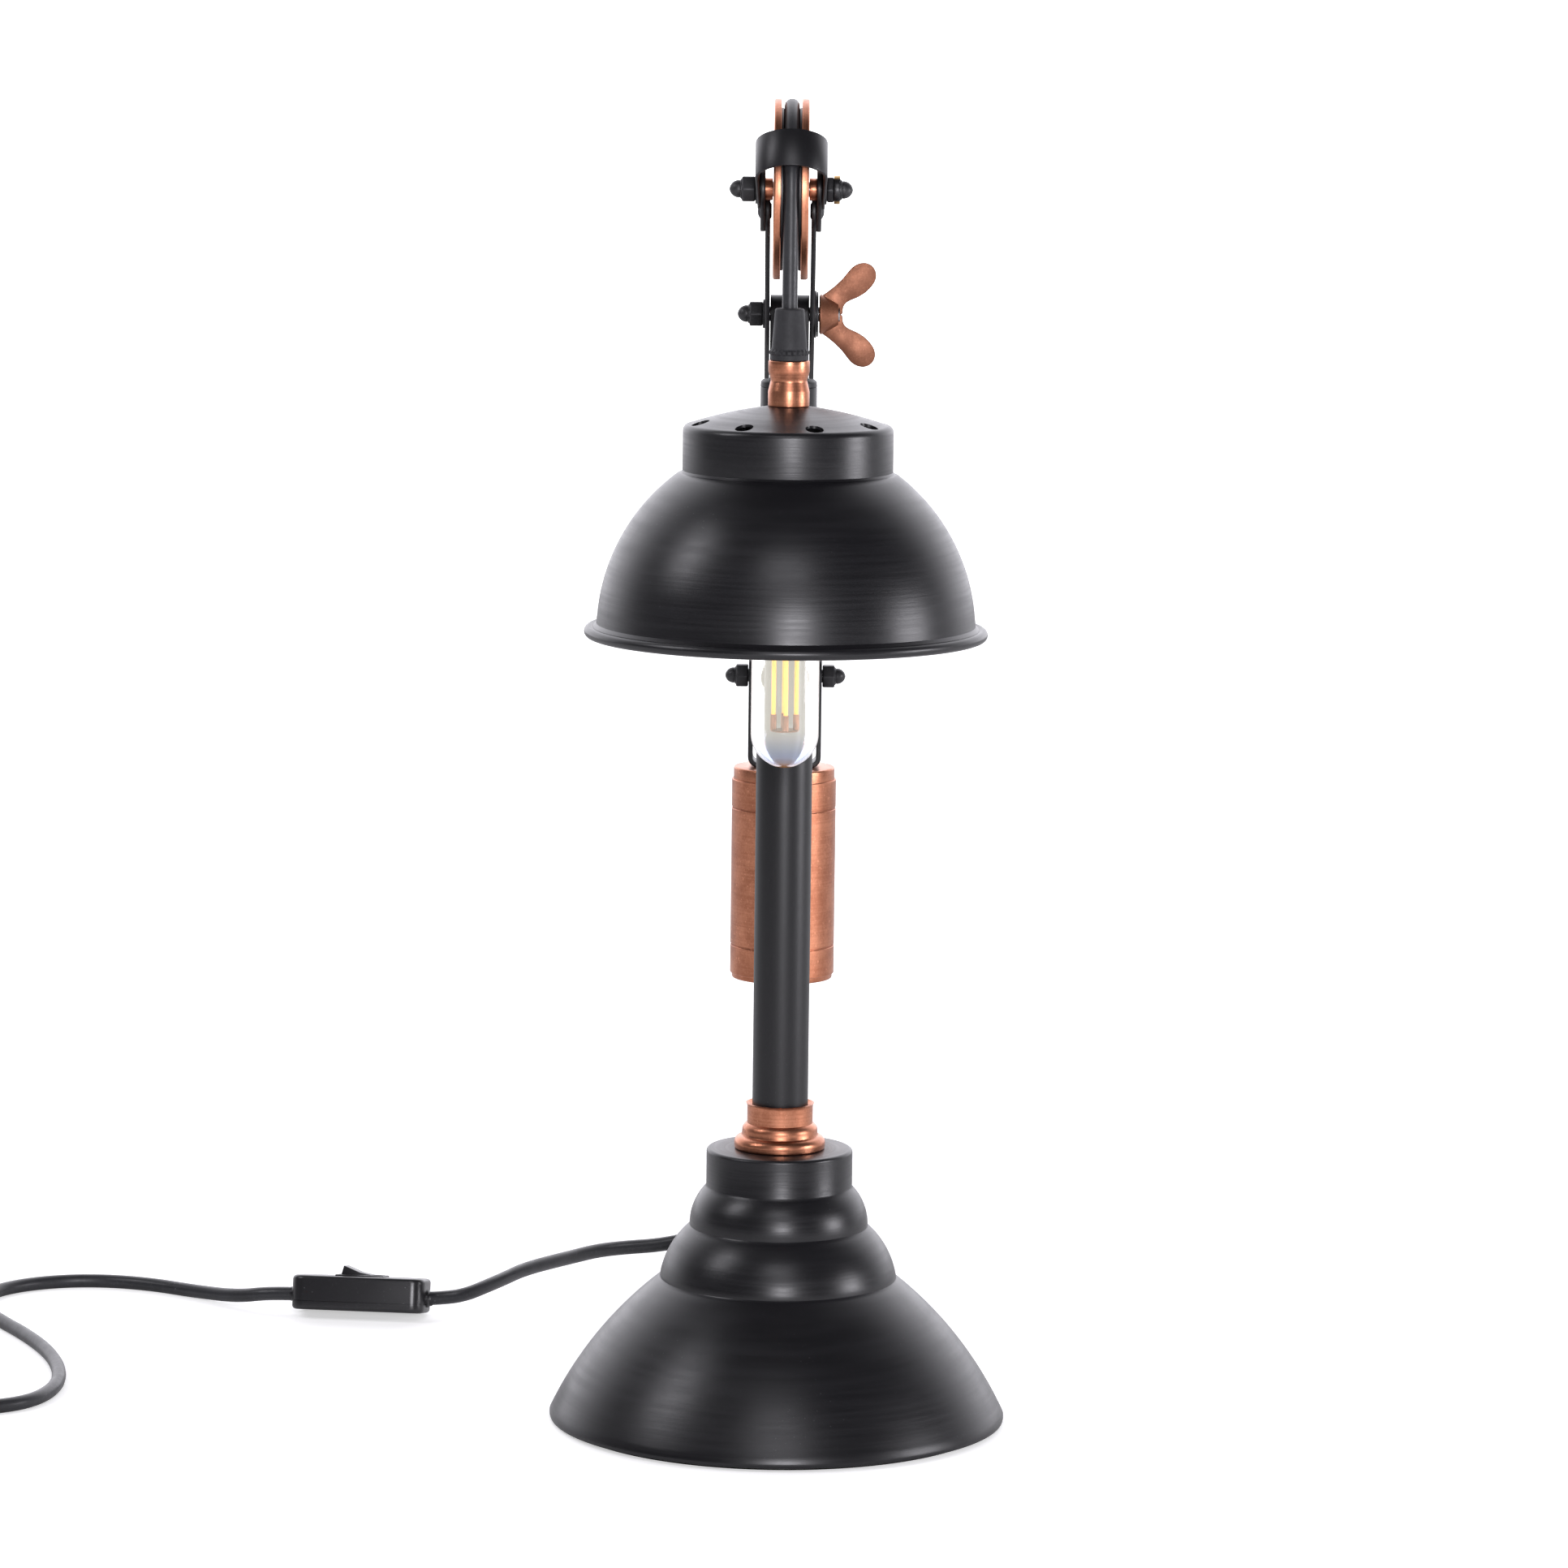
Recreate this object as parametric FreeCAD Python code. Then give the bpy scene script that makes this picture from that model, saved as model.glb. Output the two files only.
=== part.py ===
"""Industrial pipe table lamp with a pulley arm and a counterweight, in millimetres.

The origin is the centre of the base on the surface that it stands on. +Z is up, -Y is
the front, where the shade hangs, and +X is to the right seen from the front.
"""
import FreeCAD, Part
import math
import os

# Base: a spun steel bell in three tiers under a round collar
WALL_BASE = 1.2
PAD_T = 1.5
RIM_R = 96.8
PAD_INSET = 4.8
PAD_R = RIM_R - PAD_INSET
RIM_LIP = 8.0
SKIRT_BELLY = (78.6, 33.4)
SKIRT_TOP = (51.3, 61.2)
MID_FOOT = (50.2, 62.4)
MID_BELLY = (46.8, 73.2)
MID_TOP = (38.9, 83.6)
HIGH_FOOT = (37.9, 84.8)
HIGH_BELLY = (36.4, 93.1)
HIGH_TOP = (31.6, 100.9)
COLLAR_R = 31.0
BASE_TOP_Z = 117.7
COLLAR_EDGE = 2.5
BALLAST_T = 9.0
SLACK = 0.3

# Copper fitting, stem pipe and the tongue that the arm turns on
FITTING_R = 19.2
FITTING_RING_R = 15.8
FITTING_TOP_R = 14.0
FITTING_LIP_R = 14.6
FITTING_FOOT_H = 5.6
FITTING_RING_H = 5.3
FITTING_NECK_H = 8.6
FITTING_FLOOR = 4.0
STEM_R = 11.8
STEM_WALL = 1.5
STEM_TOP_Z = 441.0
FIT_GAP = 0.05
NIPPLE_R = 6.5
NIPPLE_BORE_R = 4.6
NIPPLE_BELOW = 14.0
LOCK_NUT_AF = 19.0
LOCK_NUT_T = 4.0
LOCK_WASHER_R = 14.0
LOCK_WASHER_T = 1.5
PIVOT_Z = 471.3
TONGUE_T = 16.2
TONGUE_W = 16.0
PLUG_DEPTH = 22.0
PLUG_COLLAR_H = 3.0
GRUB_R = 2.0
GRUB_BELOW_TOP = 9.0

# Arm: two flat bars, with cheeks at the front end that carry the pulley
SLOPE = 35.3
FRONT_REACH = 95.6
REAR_REACH = 316.0
BAR_T = 2.0
BAR_W = 17.0
SIDE_GAP = 0.3
BAR_INNER = TONGUE_T / 2 + SIDE_GAP
BAR_OUTER = BAR_INNER + BAR_T
CHEEK_T = 2.0
CHEEK_BACK = 16.0
RIVET_R = 2.0
RIVET_HEAD_R = 3.4
RIVET_HEAD_T = 1.2
BOLT_R = 3.0
BOLT_GAP = 0.05
WASHER_T = 0.8
WASHER_R = 6.0
NUT_AF = 10.0
NUT_T = 5.6
DOME_R = 3.6
DOME_H = 5.0
CLAMP_WASHER_R = 9.8

# Pulley: two copper discs on a grooved black core
PITCH_R = 33.6
LIP_RISE = 2.8
PULLEY_R = PITCH_R + LIP_RISE
FLANGE_T = 3.0
CORE_HALF = 4.1
FLEX_R = 3.1
GROOVE_GAP = 0.3
SHOULDER_DROP = 0.8
SHOULDER_R = PITCH_R - SHOULDER_DROP
SPACER_R = 4.5
RUN_GAP = 0.3

# Keeper strap round the front of the pulley
STRAP_T = 1.2
STRAP_W = 16.0
STRAP_GAP = 3.4
STRAP_REACH = PULLEY_R + STRAP_GAP
STRAP_TILT = 27.0
LOCK_RING_R = 5.8
LOCK_RING_BORE_R = 4.3
LOCK_RING_T = 2.4
LOCK_RING_IN = 2.9

# Wing nut stamped from sheet
WING_HUB_R = 8.3
WING_NOSE_R = 3.9
WING_HUB_L = 9.6
WING_T = 1.8
WING_TIP_R = 5.0
WING_TIP_X = 18.0
WING_TIP_Z = 16.4
WING_ROOT_IN = 0.6

# Counterweight on its bail
BAIL_INNER = 14.6
BAIL_T = 2.2
BAIL_W = 16.0
BAIL_DROP = 42.0
BAIL_CORNER = 5.0
WEIGHT_R = 24.0
WEIGHT_L = 98.5
WEIGHT_WALL = 1.5
CAP_BAND_H = 13.6
CAP_LIP_TOP = 5.6
CAP_LIP_LOW = 2.4
CAP_LIP_IN = 0.8
CAP_PLATE = 3.0
SEAM_W = 0.6
SEAM_D = 0.6
BALLAST_H = 11.0
SCREW_HEAD_R = 5.6
SCREW_HEAD_H = 3.0

# Shade, hung plumb on the flex in front of the pulley
DROP_L = 45.9
RELIEF_L = 18.6
RELIEF_TOP_R = 5.9
RELIEF_LOW_R = 7.2
RELIEF_LIP_R = 8.0
RELIEF_LIP_H = 1.4
NECK_RING_R = 7.5
NECK_RING_H = 2.2
NECK_L = 18.5
NECK_R = 8.3
NECK_WAIST_R = 7.3
NECK_WALL = 1.0
SHADE_WALL = 1.0
SHADE_COLLAR_R = 42.3
SHADE_COLLAR_H = 20.0
SHADE_CROWN_H = 7.2
SHADE_EDGE = 2.6
BELL_START_R = 44.4
BELL_BELLY = (66.5, 25.4)
BELL_FOOT = (76.4, 56.9)
BELL_H = 66.1
BEAD_R = 2.3
BEAD_RING_R = 79.0
VENT_R = 3.65
VENT_RING_R = 36.6
VENT_COUNT = 8
VENT_TURN = 16.5

# Lamp holder and tubular filament bulb
HOLDER_R = 14.2
HOLDER_L = 48.0
HOLDER_WALL = 2.0
HOLDER_CAP_L = 14.0
HOLDER_NIPPLE_R = 5.0
HOLDER_NUT_AF = 14.0
HOLDER_NUT_T = 3.0
BULB_R = 13.7
BULB_TIP_DROP = 146.0
BULB_WALL = 0.8
BULB_NECK_R = 6.4
BULB_SHOULDER = 14.0
BULB_CAP_R = 6.9
BULB_CAP_L = 22.0
FILAMENT_R = 0.9
FILAMENT_L = 46.0
FILAMENT_RING = 4.6
FILAMENT_COUNT = 4
POST_R = 2.4

# Mains lead: gland, in-line rocker switch, coil and plug
CORD_R = 3.1
GLAND_Z = 69.5
GLAND_SIDE = 12.0
GLAND_R = 5.4
GLAND_OUT = 14.0
GLAND_IN = 7.0
SWITCH_L = 61.0
SWITCH_W = 26.0
SWITCH_H = 15.6
SWITCH_SPLIT = 4.0
SWITCH_EDGE = 2.6
SWITCH_BORE_Z = 9.0
SWITCH_BORE_H = 6.6
SWITCH_ROLL = 11.0
SWITCH_A = (-159.7, 188.1)
SWITCH_B = (-220.6, 195.6)
ROCKER_L = 17.0
ROCKER_W = 11.0
ROCKER_TILT = 16.0
ROCKER_DROP = 5.0
ROCKER_SINK = 1.0
ROCKER_SWEEP = 3.2
COIL_TURNS = 3
COIL_OUT_R = 44.0
COIL_PITCH = 7.0
COIL_LAYER = 6.8
COIL_FLAT = 0.5
COIL_START = (-402.0, -13.0)
PLUG_X = -474.0
PLUG_R = 18.0
PLUG_L = 19.0
PLUG_GRIP_L = 26.0
PLUG_GRIP_R = 11.0
PLUG_RELIEF_L = 16.0
PLUG_RELIEF_R = 5.2
PIN_R = 2.4
PIN_L = 19.0
PIN_SPACING = 19.0

# Places that follow from the sizes
UP = FreeCAD.Vector(0, 0, 1)
ACROSS = FreeCAD.Vector(1, 0, 0)
TILT = math.radians(SLOPE)
AXLE_Y = -FRONT_REACH * math.cos(TILT)
AXLE_Z = PIVOT_Z + FRONT_REACH * math.sin(TILT)
REAR_Y = REAR_REACH * math.cos(TILT)
REAR_Z = PIVOT_Z - REAR_REACH * math.sin(TILT)
HANG_Y = AXLE_Y - PITCH_R
RELIEF_TOP_Z = AXLE_Z - DROP_L
RELIEF_FOOT_Z = RELIEF_TOP_Z - RELIEF_L
NECK_TOP_Z = RELIEF_FOOT_Z - NECK_RING_H
NECK_FOOT_Z = NECK_TOP_Z - NECK_L
COLLAR_TOP_Z = NECK_FOOT_Z - SHADE_CROWN_H
COLLAR_FOOT_Z = COLLAR_TOP_Z - SHADE_COLLAR_H
FITTING_TOP_Z = BASE_TOP_Z + FITTING_FOOT_H + FITTING_RING_H + FITTING_NECK_H
STEM_FOOT_Z = BASE_TOP_Z + FITTING_FLOOR
FLANGE_OUT = CORE_HALF + FLANGE_T
WEIGHT_TOP_Z = REAR_Z - BAIL_DROP
CHEEK_OUT = BAR_OUTER + CHEEK_T
STRAP_OUT = CHEEK_OUT + STRAP_T


def vec(x, y, z):
    return FreeCAD.Vector(x, y, z)


def path_edges(points):
    """Edges through (a, b) points; a four-number entry is an arc by its middle."""
    edges = []
    last = points[0]
    for step in points[1:]:
        end = step[-2:]
        if len(step) == 4:
            edges.append(("arc", last, step[:2], end))
        else:
            edges.append(("line", last, end))
        last = end
    if math.dist(last, points[0]) > 1e-6:
        edges.append(("line", last, points[0]))
    return edges


def outline(points, place):
    """A closed face of the points, each put into space by place(a, b)."""
    shapes = []
    for edge in path_edges(points):
        spots = [place(*pair) for pair in edge[1:]]
        if edge[0] == "arc":
            shapes.append(Part.Arc(*spots).toShape())
        else:
            shapes.append(Part.LineSegment(*spots).toShape())
    return Part.Face(Part.Wire(shapes))


def spun(points, y=0.0, x=0.0):
    """A solid turned about the vertical axis at (x, y), from (radius, z) points."""
    face = outline(points, lambda r, z: vec(x + r, y, z))
    return face.revolve(vec(x, y, 0), UP, 360)


def turned(points, y, z):
    """A solid turned about the X axis at (y, z), from (x, radius) points."""
    face = outline(points, lambda x, r: vec(x, y, z + r))
    return face.revolve(vec(0, y, z), ACROSS, 360)


def rod(x0, x1, radius, y, z):
    return Part.makeCylinder(radius, x1 - x0, vec(x0, y, z), ACROSS)


def tube_x(x0, x1, outer, inner, y, z):
    return rod(x0, x1, outer, y, z).cut(rod(x0 - 1, x1 + 1, inner, y, z))


def hexagon(x0, x1, across_flats, y, z):
    corner = across_flats / math.sqrt(3)
    corners = []
    for k in range(7):
        turn = math.radians(60 * k + 30)
        corners.append(vec(x0, y + corner * math.cos(turn), z + corner * math.sin(turn)))
    return Part.Face(Part.makePolygon(corners)).extrude(vec(x1 - x0, 0, 0))


def cap_arc(radius, height):
    """The middle and the top of a shallow ball cap, as (radius, height) pairs."""
    ball = (radius ** 2 + height ** 2) / (2 * height)
    half = math.asin(radius / ball) / 2
    return ball * math.sin(half), height - ball * (1 - math.cos(half))


def link_plate(y0, y1, half, x0, x1, z):
    """A flat bar with round ends centred on y0 and y1 at height z."""
    face = outline(
        [(y0, z - half), (y1, z - half), (y1 + half, z, y1, z + half), (y0, z + half),
         (y0 - half, z, y0, z - half)],
        lambda y, h: vec(x0, y, h))
    return face.extrude(vec(x1 - x0, 0, 0))


def on_arm(shape):
    """Tips a shape, made on a level arm, to the slope of the arm."""
    tipped = shape.copy()
    tipped.rotate(vec(0, 0, PIVOT_Z), ACROSS, -SLOPE)
    return tipped


def mirror_x(shape):
    return shape.mirror(vec(0, 0, 0), ACROSS)


def cap_nut(x0, y, z):
    """A domed hexagon nut that starts at x0 and points along +X."""
    blank = hexagon(x0, x0 + NUT_T, NUT_AF, y, z)
    corner = NUT_AF / math.sqrt(3)
    chamfer = turned([(x0 - 1, 0), (x0 - 1, corner), (x0 + NUT_T - 1.6, corner),
                      (x0 + NUT_T, DOME_R + 0.8), (x0 + NUT_T, 0)], y, z)
    tip = x0 + NUT_T + DOME_H
    straight = DOME_H - DOME_R
    dome = turned([(x0 + NUT_T - 0.5, 0), (x0 + NUT_T - 0.5, DOME_R),
                   (x0 + NUT_T + straight, DOME_R),
                   (tip - DOME_R + DOME_R * math.sin(math.pi / 4),
                    DOME_R * math.cos(math.pi / 4), tip, 0)], y, z)
    return blank.common(chamfer).fuse(dome).removeSplitter()


def blind_cap_nut(x0, y, z, shank_end):
    """A cap nut bored for the end of its bolt."""
    return cap_nut(x0, y, z).cut(rod(x0 - 1, shank_end, BOLT_R, y, z))


def tangent_arc(start, heading, end):
    """The arc that leaves start along heading and reaches end."""
    chord = end - start
    along = FreeCAD.Vector(chord).normalize()
    side = heading - along * heading.dot(along)
    if side.Length < 1e-9:
        return Part.LineSegment(start, end).toShape()
    bend = math.acos(max(-1.0, min(1.0, heading.dot(along))))
    middle = (start + end) * 0.5 + side.normalize() * (chord.Length / 2 * math.tan(bend / 2))
    return Part.Arc(start, middle, end).toShape()


def biarc(start, heading, end, leaving):
    """Two arcs from start to end that are tangent to both headings."""
    chord = end - start
    total = heading + leaving
    square = 2 * (1 - heading.dot(leaving))
    mix = chord.dot(total)
    if square < 1e-9:
        reach = chord.dot(chord) / (2 * mix)
    else:
        reach = (-mix + math.sqrt(mix * mix + square * chord.dot(chord))) / square
    joint = (start + end + (heading - leaving) * reach) * 0.5
    first = tangent_arc(start, heading, joint)
    back = tangent_arc(end, leaving * -1, joint)
    middle = back.valueAt((back.FirstParameter + back.LastParameter) / 2)
    return [first, Part.Arc(joint, middle, end).toShape()]


def sweep(edges, radius, start, heading):
    """A round tube along edges that starts at start along heading."""
    ring = Part.Wire([Part.Circle(start, heading, radius).toShape()])
    wire = Part.Wire(edges)
    return wire.makePipeShell([ring], True, False)


def routed(name, points, radius):
    """A tube through straight runs joined by the widest arcs that their lengths allow."""
    edges = []
    radii = []
    last = points[0]
    for k in range(1, len(points) - 1):
        before = points[k - 1] - points[k]
        after = points[k + 1] - points[k]
        turn = math.pi - before.getAngle(after)
        reach = 0.45 * min(before.Length, after.Length)
        radii.append(reach / math.tan(turn / 2))
        entry = points[k] + FreeCAD.Vector(before).normalize() * reach
        leave = points[k] + FreeCAD.Vector(after).normalize() * reach
        edges.append(Part.LineSegment(last, entry).toShape())
        heading = (entry - last).normalize()
        edges.append(tangent_arc(entry, heading, leave))
        last = leave
    edges.append(Part.LineSegment(last, points[-1]).toShape())
    length = sum(edge.Length for edge in edges)
    solid = sweep(edges, radius, points[0], points[1] - points[0])
    share = solid.Volume / (math.pi * radius * radius * length)
    print(name, "radii", [round(value, 1) for value in radii],
          "length", round(length, 1), "volume share", round(share, 4))
    return solid


def base_surface(inset):
    """The base's outside, or its inside where inset is the wall."""
    foot = PAD_T - (5.0 if inset else 0.0)
    top = BASE_TOP_Z - inset
    edge = COLLAR_EDGE - inset * 0.6
    round_off = edge * (1 - math.cos(math.pi / 4))
    return spun([
        (0, foot),
        (RIM_R - inset, foot),
        (RIM_R - inset, PAD_T + 1.0),
        (SKIRT_BELLY[0] - inset * 0.8, SKIRT_BELLY[1] - inset * 0.6,
         SKIRT_TOP[0] - inset, SKIRT_TOP[1] - inset),
        (MID_FOOT[0] - inset, MID_FOOT[1]),
        (MID_BELLY[0] - inset, MID_BELLY[1] - inset * 0.4, MID_TOP[0] - inset, MID_TOP[1] - inset),
        (HIGH_FOOT[0] - inset, HIGH_FOOT[1]),
        (HIGH_BELLY[0] - inset, HIGH_BELLY[1] - inset * 0.2,
         HIGH_TOP[0] - inset, HIGH_TOP[1] - inset),
        (COLLAR_R - inset, HIGH_TOP[1] + 0.8 - inset),
        (COLLAR_R - inset, top - edge),
        (COLLAR_R - inset - round_off, top - round_off, COLLAR_R - inset - edge, top),
        (0, top)])


def gland_place():
    side = math.radians(GLAND_SIDE)
    return vec(-math.sin(side), math.cos(side), 0)


def gland_wall_r():
    """The base's radius at the height of the gland, on the middle tier's arc."""
    shell = base_surface(0)
    level = shell.slice(UP, GLAND_Z)[0]
    return level.BoundBox.XMax


def base_pieces(wall_r):
    outward = gland_place()
    shell = base_surface(0).cut(base_surface(WALL_BASE))
    lip_low = PAD_T
    lip = spun([(RIM_R - RIM_LIP, lip_low), (RIM_R - WALL_BASE / 2, lip_low),
                (RIM_R - WALL_BASE / 2, lip_low + WALL_BASE), (RIM_R - RIM_LIP, lip_low + WALL_BASE)])
    shell = shell.fuse(lip)
    shell = shell.cut(Part.makeCylinder(NIPPLE_R + FIT_GAP, 20, vec(0, 0, BASE_TOP_Z - 10)))
    hole = Part.makeCylinder(GLAND_R, 30, outward * (wall_r - 15) + vec(0, 0, GLAND_Z), outward)
    shell = shell.cut(hole).removeSplitter()
    pad = Part.makeCylinder(PAD_R, PAD_T)
    seat = PAD_T + WALL_BASE
    ballast = Part.makeCylinder(RIM_R, BALLAST_T, vec(0, 0, seat))
    ballast = ballast.common(base_surface(WALL_BASE + SLACK))
    ballast = ballast.cut(Part.makeCylinder(NIPPLE_R * 2, BALLAST_T * 3, vec(0, 0, -seat)))
    return {"base_shell": shell, "base_pad": pad, "base_ballast": ballast}


def mains_gland(wall_r, shell):
    """A rubber gland whose groove holds the wall of the base."""
    outward = gland_place()
    spot = vec(0, 0, GLAND_Z)
    face = outline([(CORD_R, GLAND_OUT), (CORD_R + 1.4, GLAND_OUT), (GLAND_R, 3.4),
                    (GLAND_R + 1.3, 2.6), (GLAND_R + 1.3, -5.6), (GLAND_R, -GLAND_IN),
                    (CORD_R, -GLAND_IN)],
                   lambda r, out: spot + outward * (wall_r + out) + UP * r)
    return face.revolve(spot, outward, 360).cut(shell)


def stem_pieces():
    """The fitting, its nipple and nut, the pipe and the tongue in its top."""
    ring_z = BASE_TOP_Z + FITTING_FOOT_H
    neck_z = ring_z + FITTING_RING_H
    top_z = FITTING_TOP_Z
    fitting = spun([
        (NIPPLE_R, BASE_TOP_Z), (FITTING_R, BASE_TOP_Z), (FITTING_R, ring_z - 2.6),
        (FITTING_R - 0.7, ring_z - 0.7, FITTING_R - 2.6, ring_z),
        (FITTING_RING_R + 0.4, ring_z + 1.4, FITTING_RING_R, neck_z - 1.2),
        (FITTING_RING_R - 0.3, neck_z - 0.3, FITTING_RING_R - 1.2, neck_z),
        (FITTING_TOP_R, neck_z), (FITTING_TOP_R, top_z - 1.8),
        (FITTING_LIP_R, top_z - 0.9, FITTING_LIP_R - 0.3, top_z),
        (STEM_R + 0.9, top_z), (STEM_R + FIT_GAP, top_z - 1.6),
        (STEM_R + FIT_GAP, STEM_FOOT_Z), (NIPPLE_R, STEM_FOOT_Z)])
    nipple = Part.makeCylinder(NIPPLE_R, NIPPLE_BELOW + FITTING_FLOOR,
                               vec(0, 0, BASE_TOP_Z - NIPPLE_BELOW))
    nipple = nipple.cut(Part.makeCylinder(NIPPLE_BORE_R, 60, vec(0, 0, BASE_TOP_Z - 30)))
    under = BASE_TOP_Z - WALL_BASE
    washer = Part.makeCylinder(LOCK_WASHER_R, LOCK_WASHER_T, vec(0, 0, under - LOCK_WASHER_T))
    washer = washer.cut(Part.makeCylinder(NIPPLE_R, 60, vec(0, 0, under - 30)))
    nut = hexagon(0, LOCK_NUT_T, LOCK_NUT_AF, 0, 0)
    nut.rotate(vec(0, 0, 0), vec(0, 1, 0), 90)
    nut.translate(vec(0, 0, under - LOCK_WASHER_T))
    nut = nut.cut(Part.makeCylinder(NIPPLE_R, 60, vec(0, 0, under - 30)))
    lock_nut = Part.makeCompound([washer, nut])
    pipe = Part.makeCylinder(STEM_R, STEM_TOP_Z - STEM_FOOT_Z, vec(0, 0, STEM_FOOT_Z))
    pipe = pipe.cut(Part.makeCylinder(STEM_R - STEM_WALL, STEM_TOP_Z, vec(0, 0, 0)))
    return {"stem_fitting": fitting, "stem_nipple": nipple, "stem_lock_nut": lock_nut,
            "stem_pipe": pipe}


def tongue_head():
    """The turned plug in the pipe with the flat tongue on top of it."""
    plug = Part.makeCylinder(STEM_R - STEM_WALL - FIT_GAP, PLUG_DEPTH,
                             vec(0, 0, STEM_TOP_Z - PLUG_DEPTH))
    collar = spun([(0, STEM_TOP_Z), (STEM_R, STEM_TOP_Z), (STEM_R, STEM_TOP_Z + PLUG_COLLAR_H - 1),
                   (STEM_R - 1, STEM_TOP_Z + PLUG_COLLAR_H), (0, STEM_TOP_Z + PLUG_COLLAR_H)])
    half = TONGUE_W / 2
    foot = STEM_TOP_Z + PLUG_COLLAR_H - 0.5
    face = outline([(-half, foot), (half, foot), (half, PIVOT_Z),
                    (0, PIVOT_Z + half, -half, PIVOT_Z)],
                   lambda y, z: vec(-TONGUE_T / 2, y, z))
    tongue = face.extrude(vec(TONGUE_T, 0, 0))
    head = plug.fuse([collar, tongue])
    head = head.cut(rod(-TONGUE_T, TONGUE_T, BOLT_R + BOLT_GAP, 0, PIVOT_Z))
    return head


def arm_side():
    """The right-hand bar and cheek, and their rivet."""
    front_end = -FRONT_REACH + CHEEK_BACK
    half = BAR_W / 2
    bar = link_plate(front_end, REAR_REACH, half, BAR_INNER, BAR_OUTER, PIVOT_Z)
    cheek = link_plate(-FRONT_REACH, front_end, half, BAR_OUTER, CHEEK_OUT, PIVOT_Z)
    for spot in (front_end, 0.0, REAR_REACH):
        radius = RIVET_R if spot == front_end else BOLT_R
        bar = bar.cut(rod(0, CHEEK_OUT + 1, radius, spot, PIVOT_Z))
    for spot, radius in ((front_end, RIVET_R), (-FRONT_REACH, BOLT_R)):
        cheek = cheek.cut(rod(0, CHEEK_OUT + 1, radius, spot, PIVOT_Z))
    head_in = BAR_INNER - RIVET_HEAD_T * 0.5
    mid_r, mid_h = cap_arc(RIVET_HEAD_R, RIVET_HEAD_T)
    rivet = turned([(head_in, 0), (head_in, RIVET_HEAD_R * 0.8), (BAR_INNER, RIVET_HEAD_R),
                    (BAR_INNER, RIVET_R), (CHEEK_OUT, RIVET_R), (CHEEK_OUT, RIVET_HEAD_R),
                    (CHEEK_OUT + mid_h, mid_r, CHEEK_OUT + RIVET_HEAD_T, 0)],
                   front_end, PIVOT_Z)
    return on_arm(bar), on_arm(cheek), on_arm(rivet)


def axle_pieces():
    """The pulley's bolt, spacers, washers and cap nuts, with the ring in the right nut."""
    face = STRAP_OUT + WASHER_T
    end = face + NUT_T - 1.0
    nut = blind_cap_nut(face, AXLE_Y, AXLE_Z, end)
    washer = tube_x(STRAP_OUT, face, WASHER_R, BOLT_R, AXLE_Y, AXLE_Z)
    spacer = tube_x(FLANGE_OUT + RUN_GAP, BAR_OUTER, SPACER_R, BOLT_R, AXLE_Y, AXLE_Z)
    ring_x = face + LOCK_RING_IN
    ring = tube_x(ring_x, ring_x + LOCK_RING_T, LOCK_RING_R, LOCK_RING_BORE_R, AXLE_Y, AXLE_Z)
    slot = tube_x(ring_x, ring_x + LOCK_RING_T, NUT_AF, LOCK_RING_BORE_R, AXLE_Y, AXLE_Z)
    nuts = [nut.cut(slot), mirror_x(nut), washer, mirror_x(washer)]
    return {"axle_bolt": rod(-end, end, BOLT_R, AXLE_Y, AXLE_Z),
            "axle_cap_nuts": Part.makeCompound(nuts), "axle_lock_ring": ring,
            "axle_spacers": Part.makeCompound([spacer, mirror_x(spacer)])}


def keeper_strap():
    """A flat strap bent in a U round the front of the pulley."""
    bend = STRAP_REACH - CHEEK_OUT
    outer = [(0, -STRAP_OUT), (bend, -STRAP_OUT), (bend + STRAP_OUT, 0, bend, STRAP_OUT),
             (0, STRAP_OUT), (0, CHEEK_OUT), (bend, CHEEK_OUT),
             (bend + CHEEK_OUT, 0, bend, -CHEEK_OUT), (0, -CHEEK_OUT)]
    half = STRAP_W / 2
    face = outline(outer, lambda out, x: vec(x, AXLE_Y - out, AXLE_Z - half))
    strap = face.extrude(vec(0, 0, STRAP_W))
    for side in (-1, 1):
        face = CHEEK_OUT * side
        ear = rod(min(face, STRAP_OUT * side), max(face, STRAP_OUT * side), half, AXLE_Y, AXLE_Z)
        strap = strap.fuse(ear)
    strap = strap.cut(rod(-STRAP_OUT - 1, STRAP_OUT + 1, BOLT_R, AXLE_Y, AXLE_Z)).removeSplitter()
    strap.rotate(vec(0, AXLE_Y, AXLE_Z), ACROSS, -STRAP_TILT)
    return strap


def pulley_pieces():
    """Two flanges against a core with a round groove."""
    bore = BOLT_R + BOLT_GAP
    groove = FLEX_R + GROOVE_GAP
    mouth = math.sqrt(groove ** 2 - (PITCH_R - SHOULDER_R) ** 2)
    core = turned([(-CORE_HALF, bore), (CORE_HALF, bore), (CORE_HALF, SHOULDER_R),
                   (mouth, SHOULDER_R), (0, PITCH_R - groove, -mouth, SHOULDER_R),
                   (-CORE_HALF, SHOULDER_R)], AXLE_Y, AXLE_Z)
    flange = turned([(CORE_HALF, bore), (FLANGE_OUT, bore), (FLANGE_OUT, PULLEY_R - 0.8),
                     (FLANGE_OUT - 0.25, PULLEY_R - 0.25, FLANGE_OUT - 0.8, PULLEY_R),
                     (CORE_HALF, PULLEY_R)], AXLE_Y, AXLE_Z)
    return {"pulley_core": core, "pulley_flange_right": flange,
            "pulley_flange_left": mirror_x(flange)}


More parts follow.
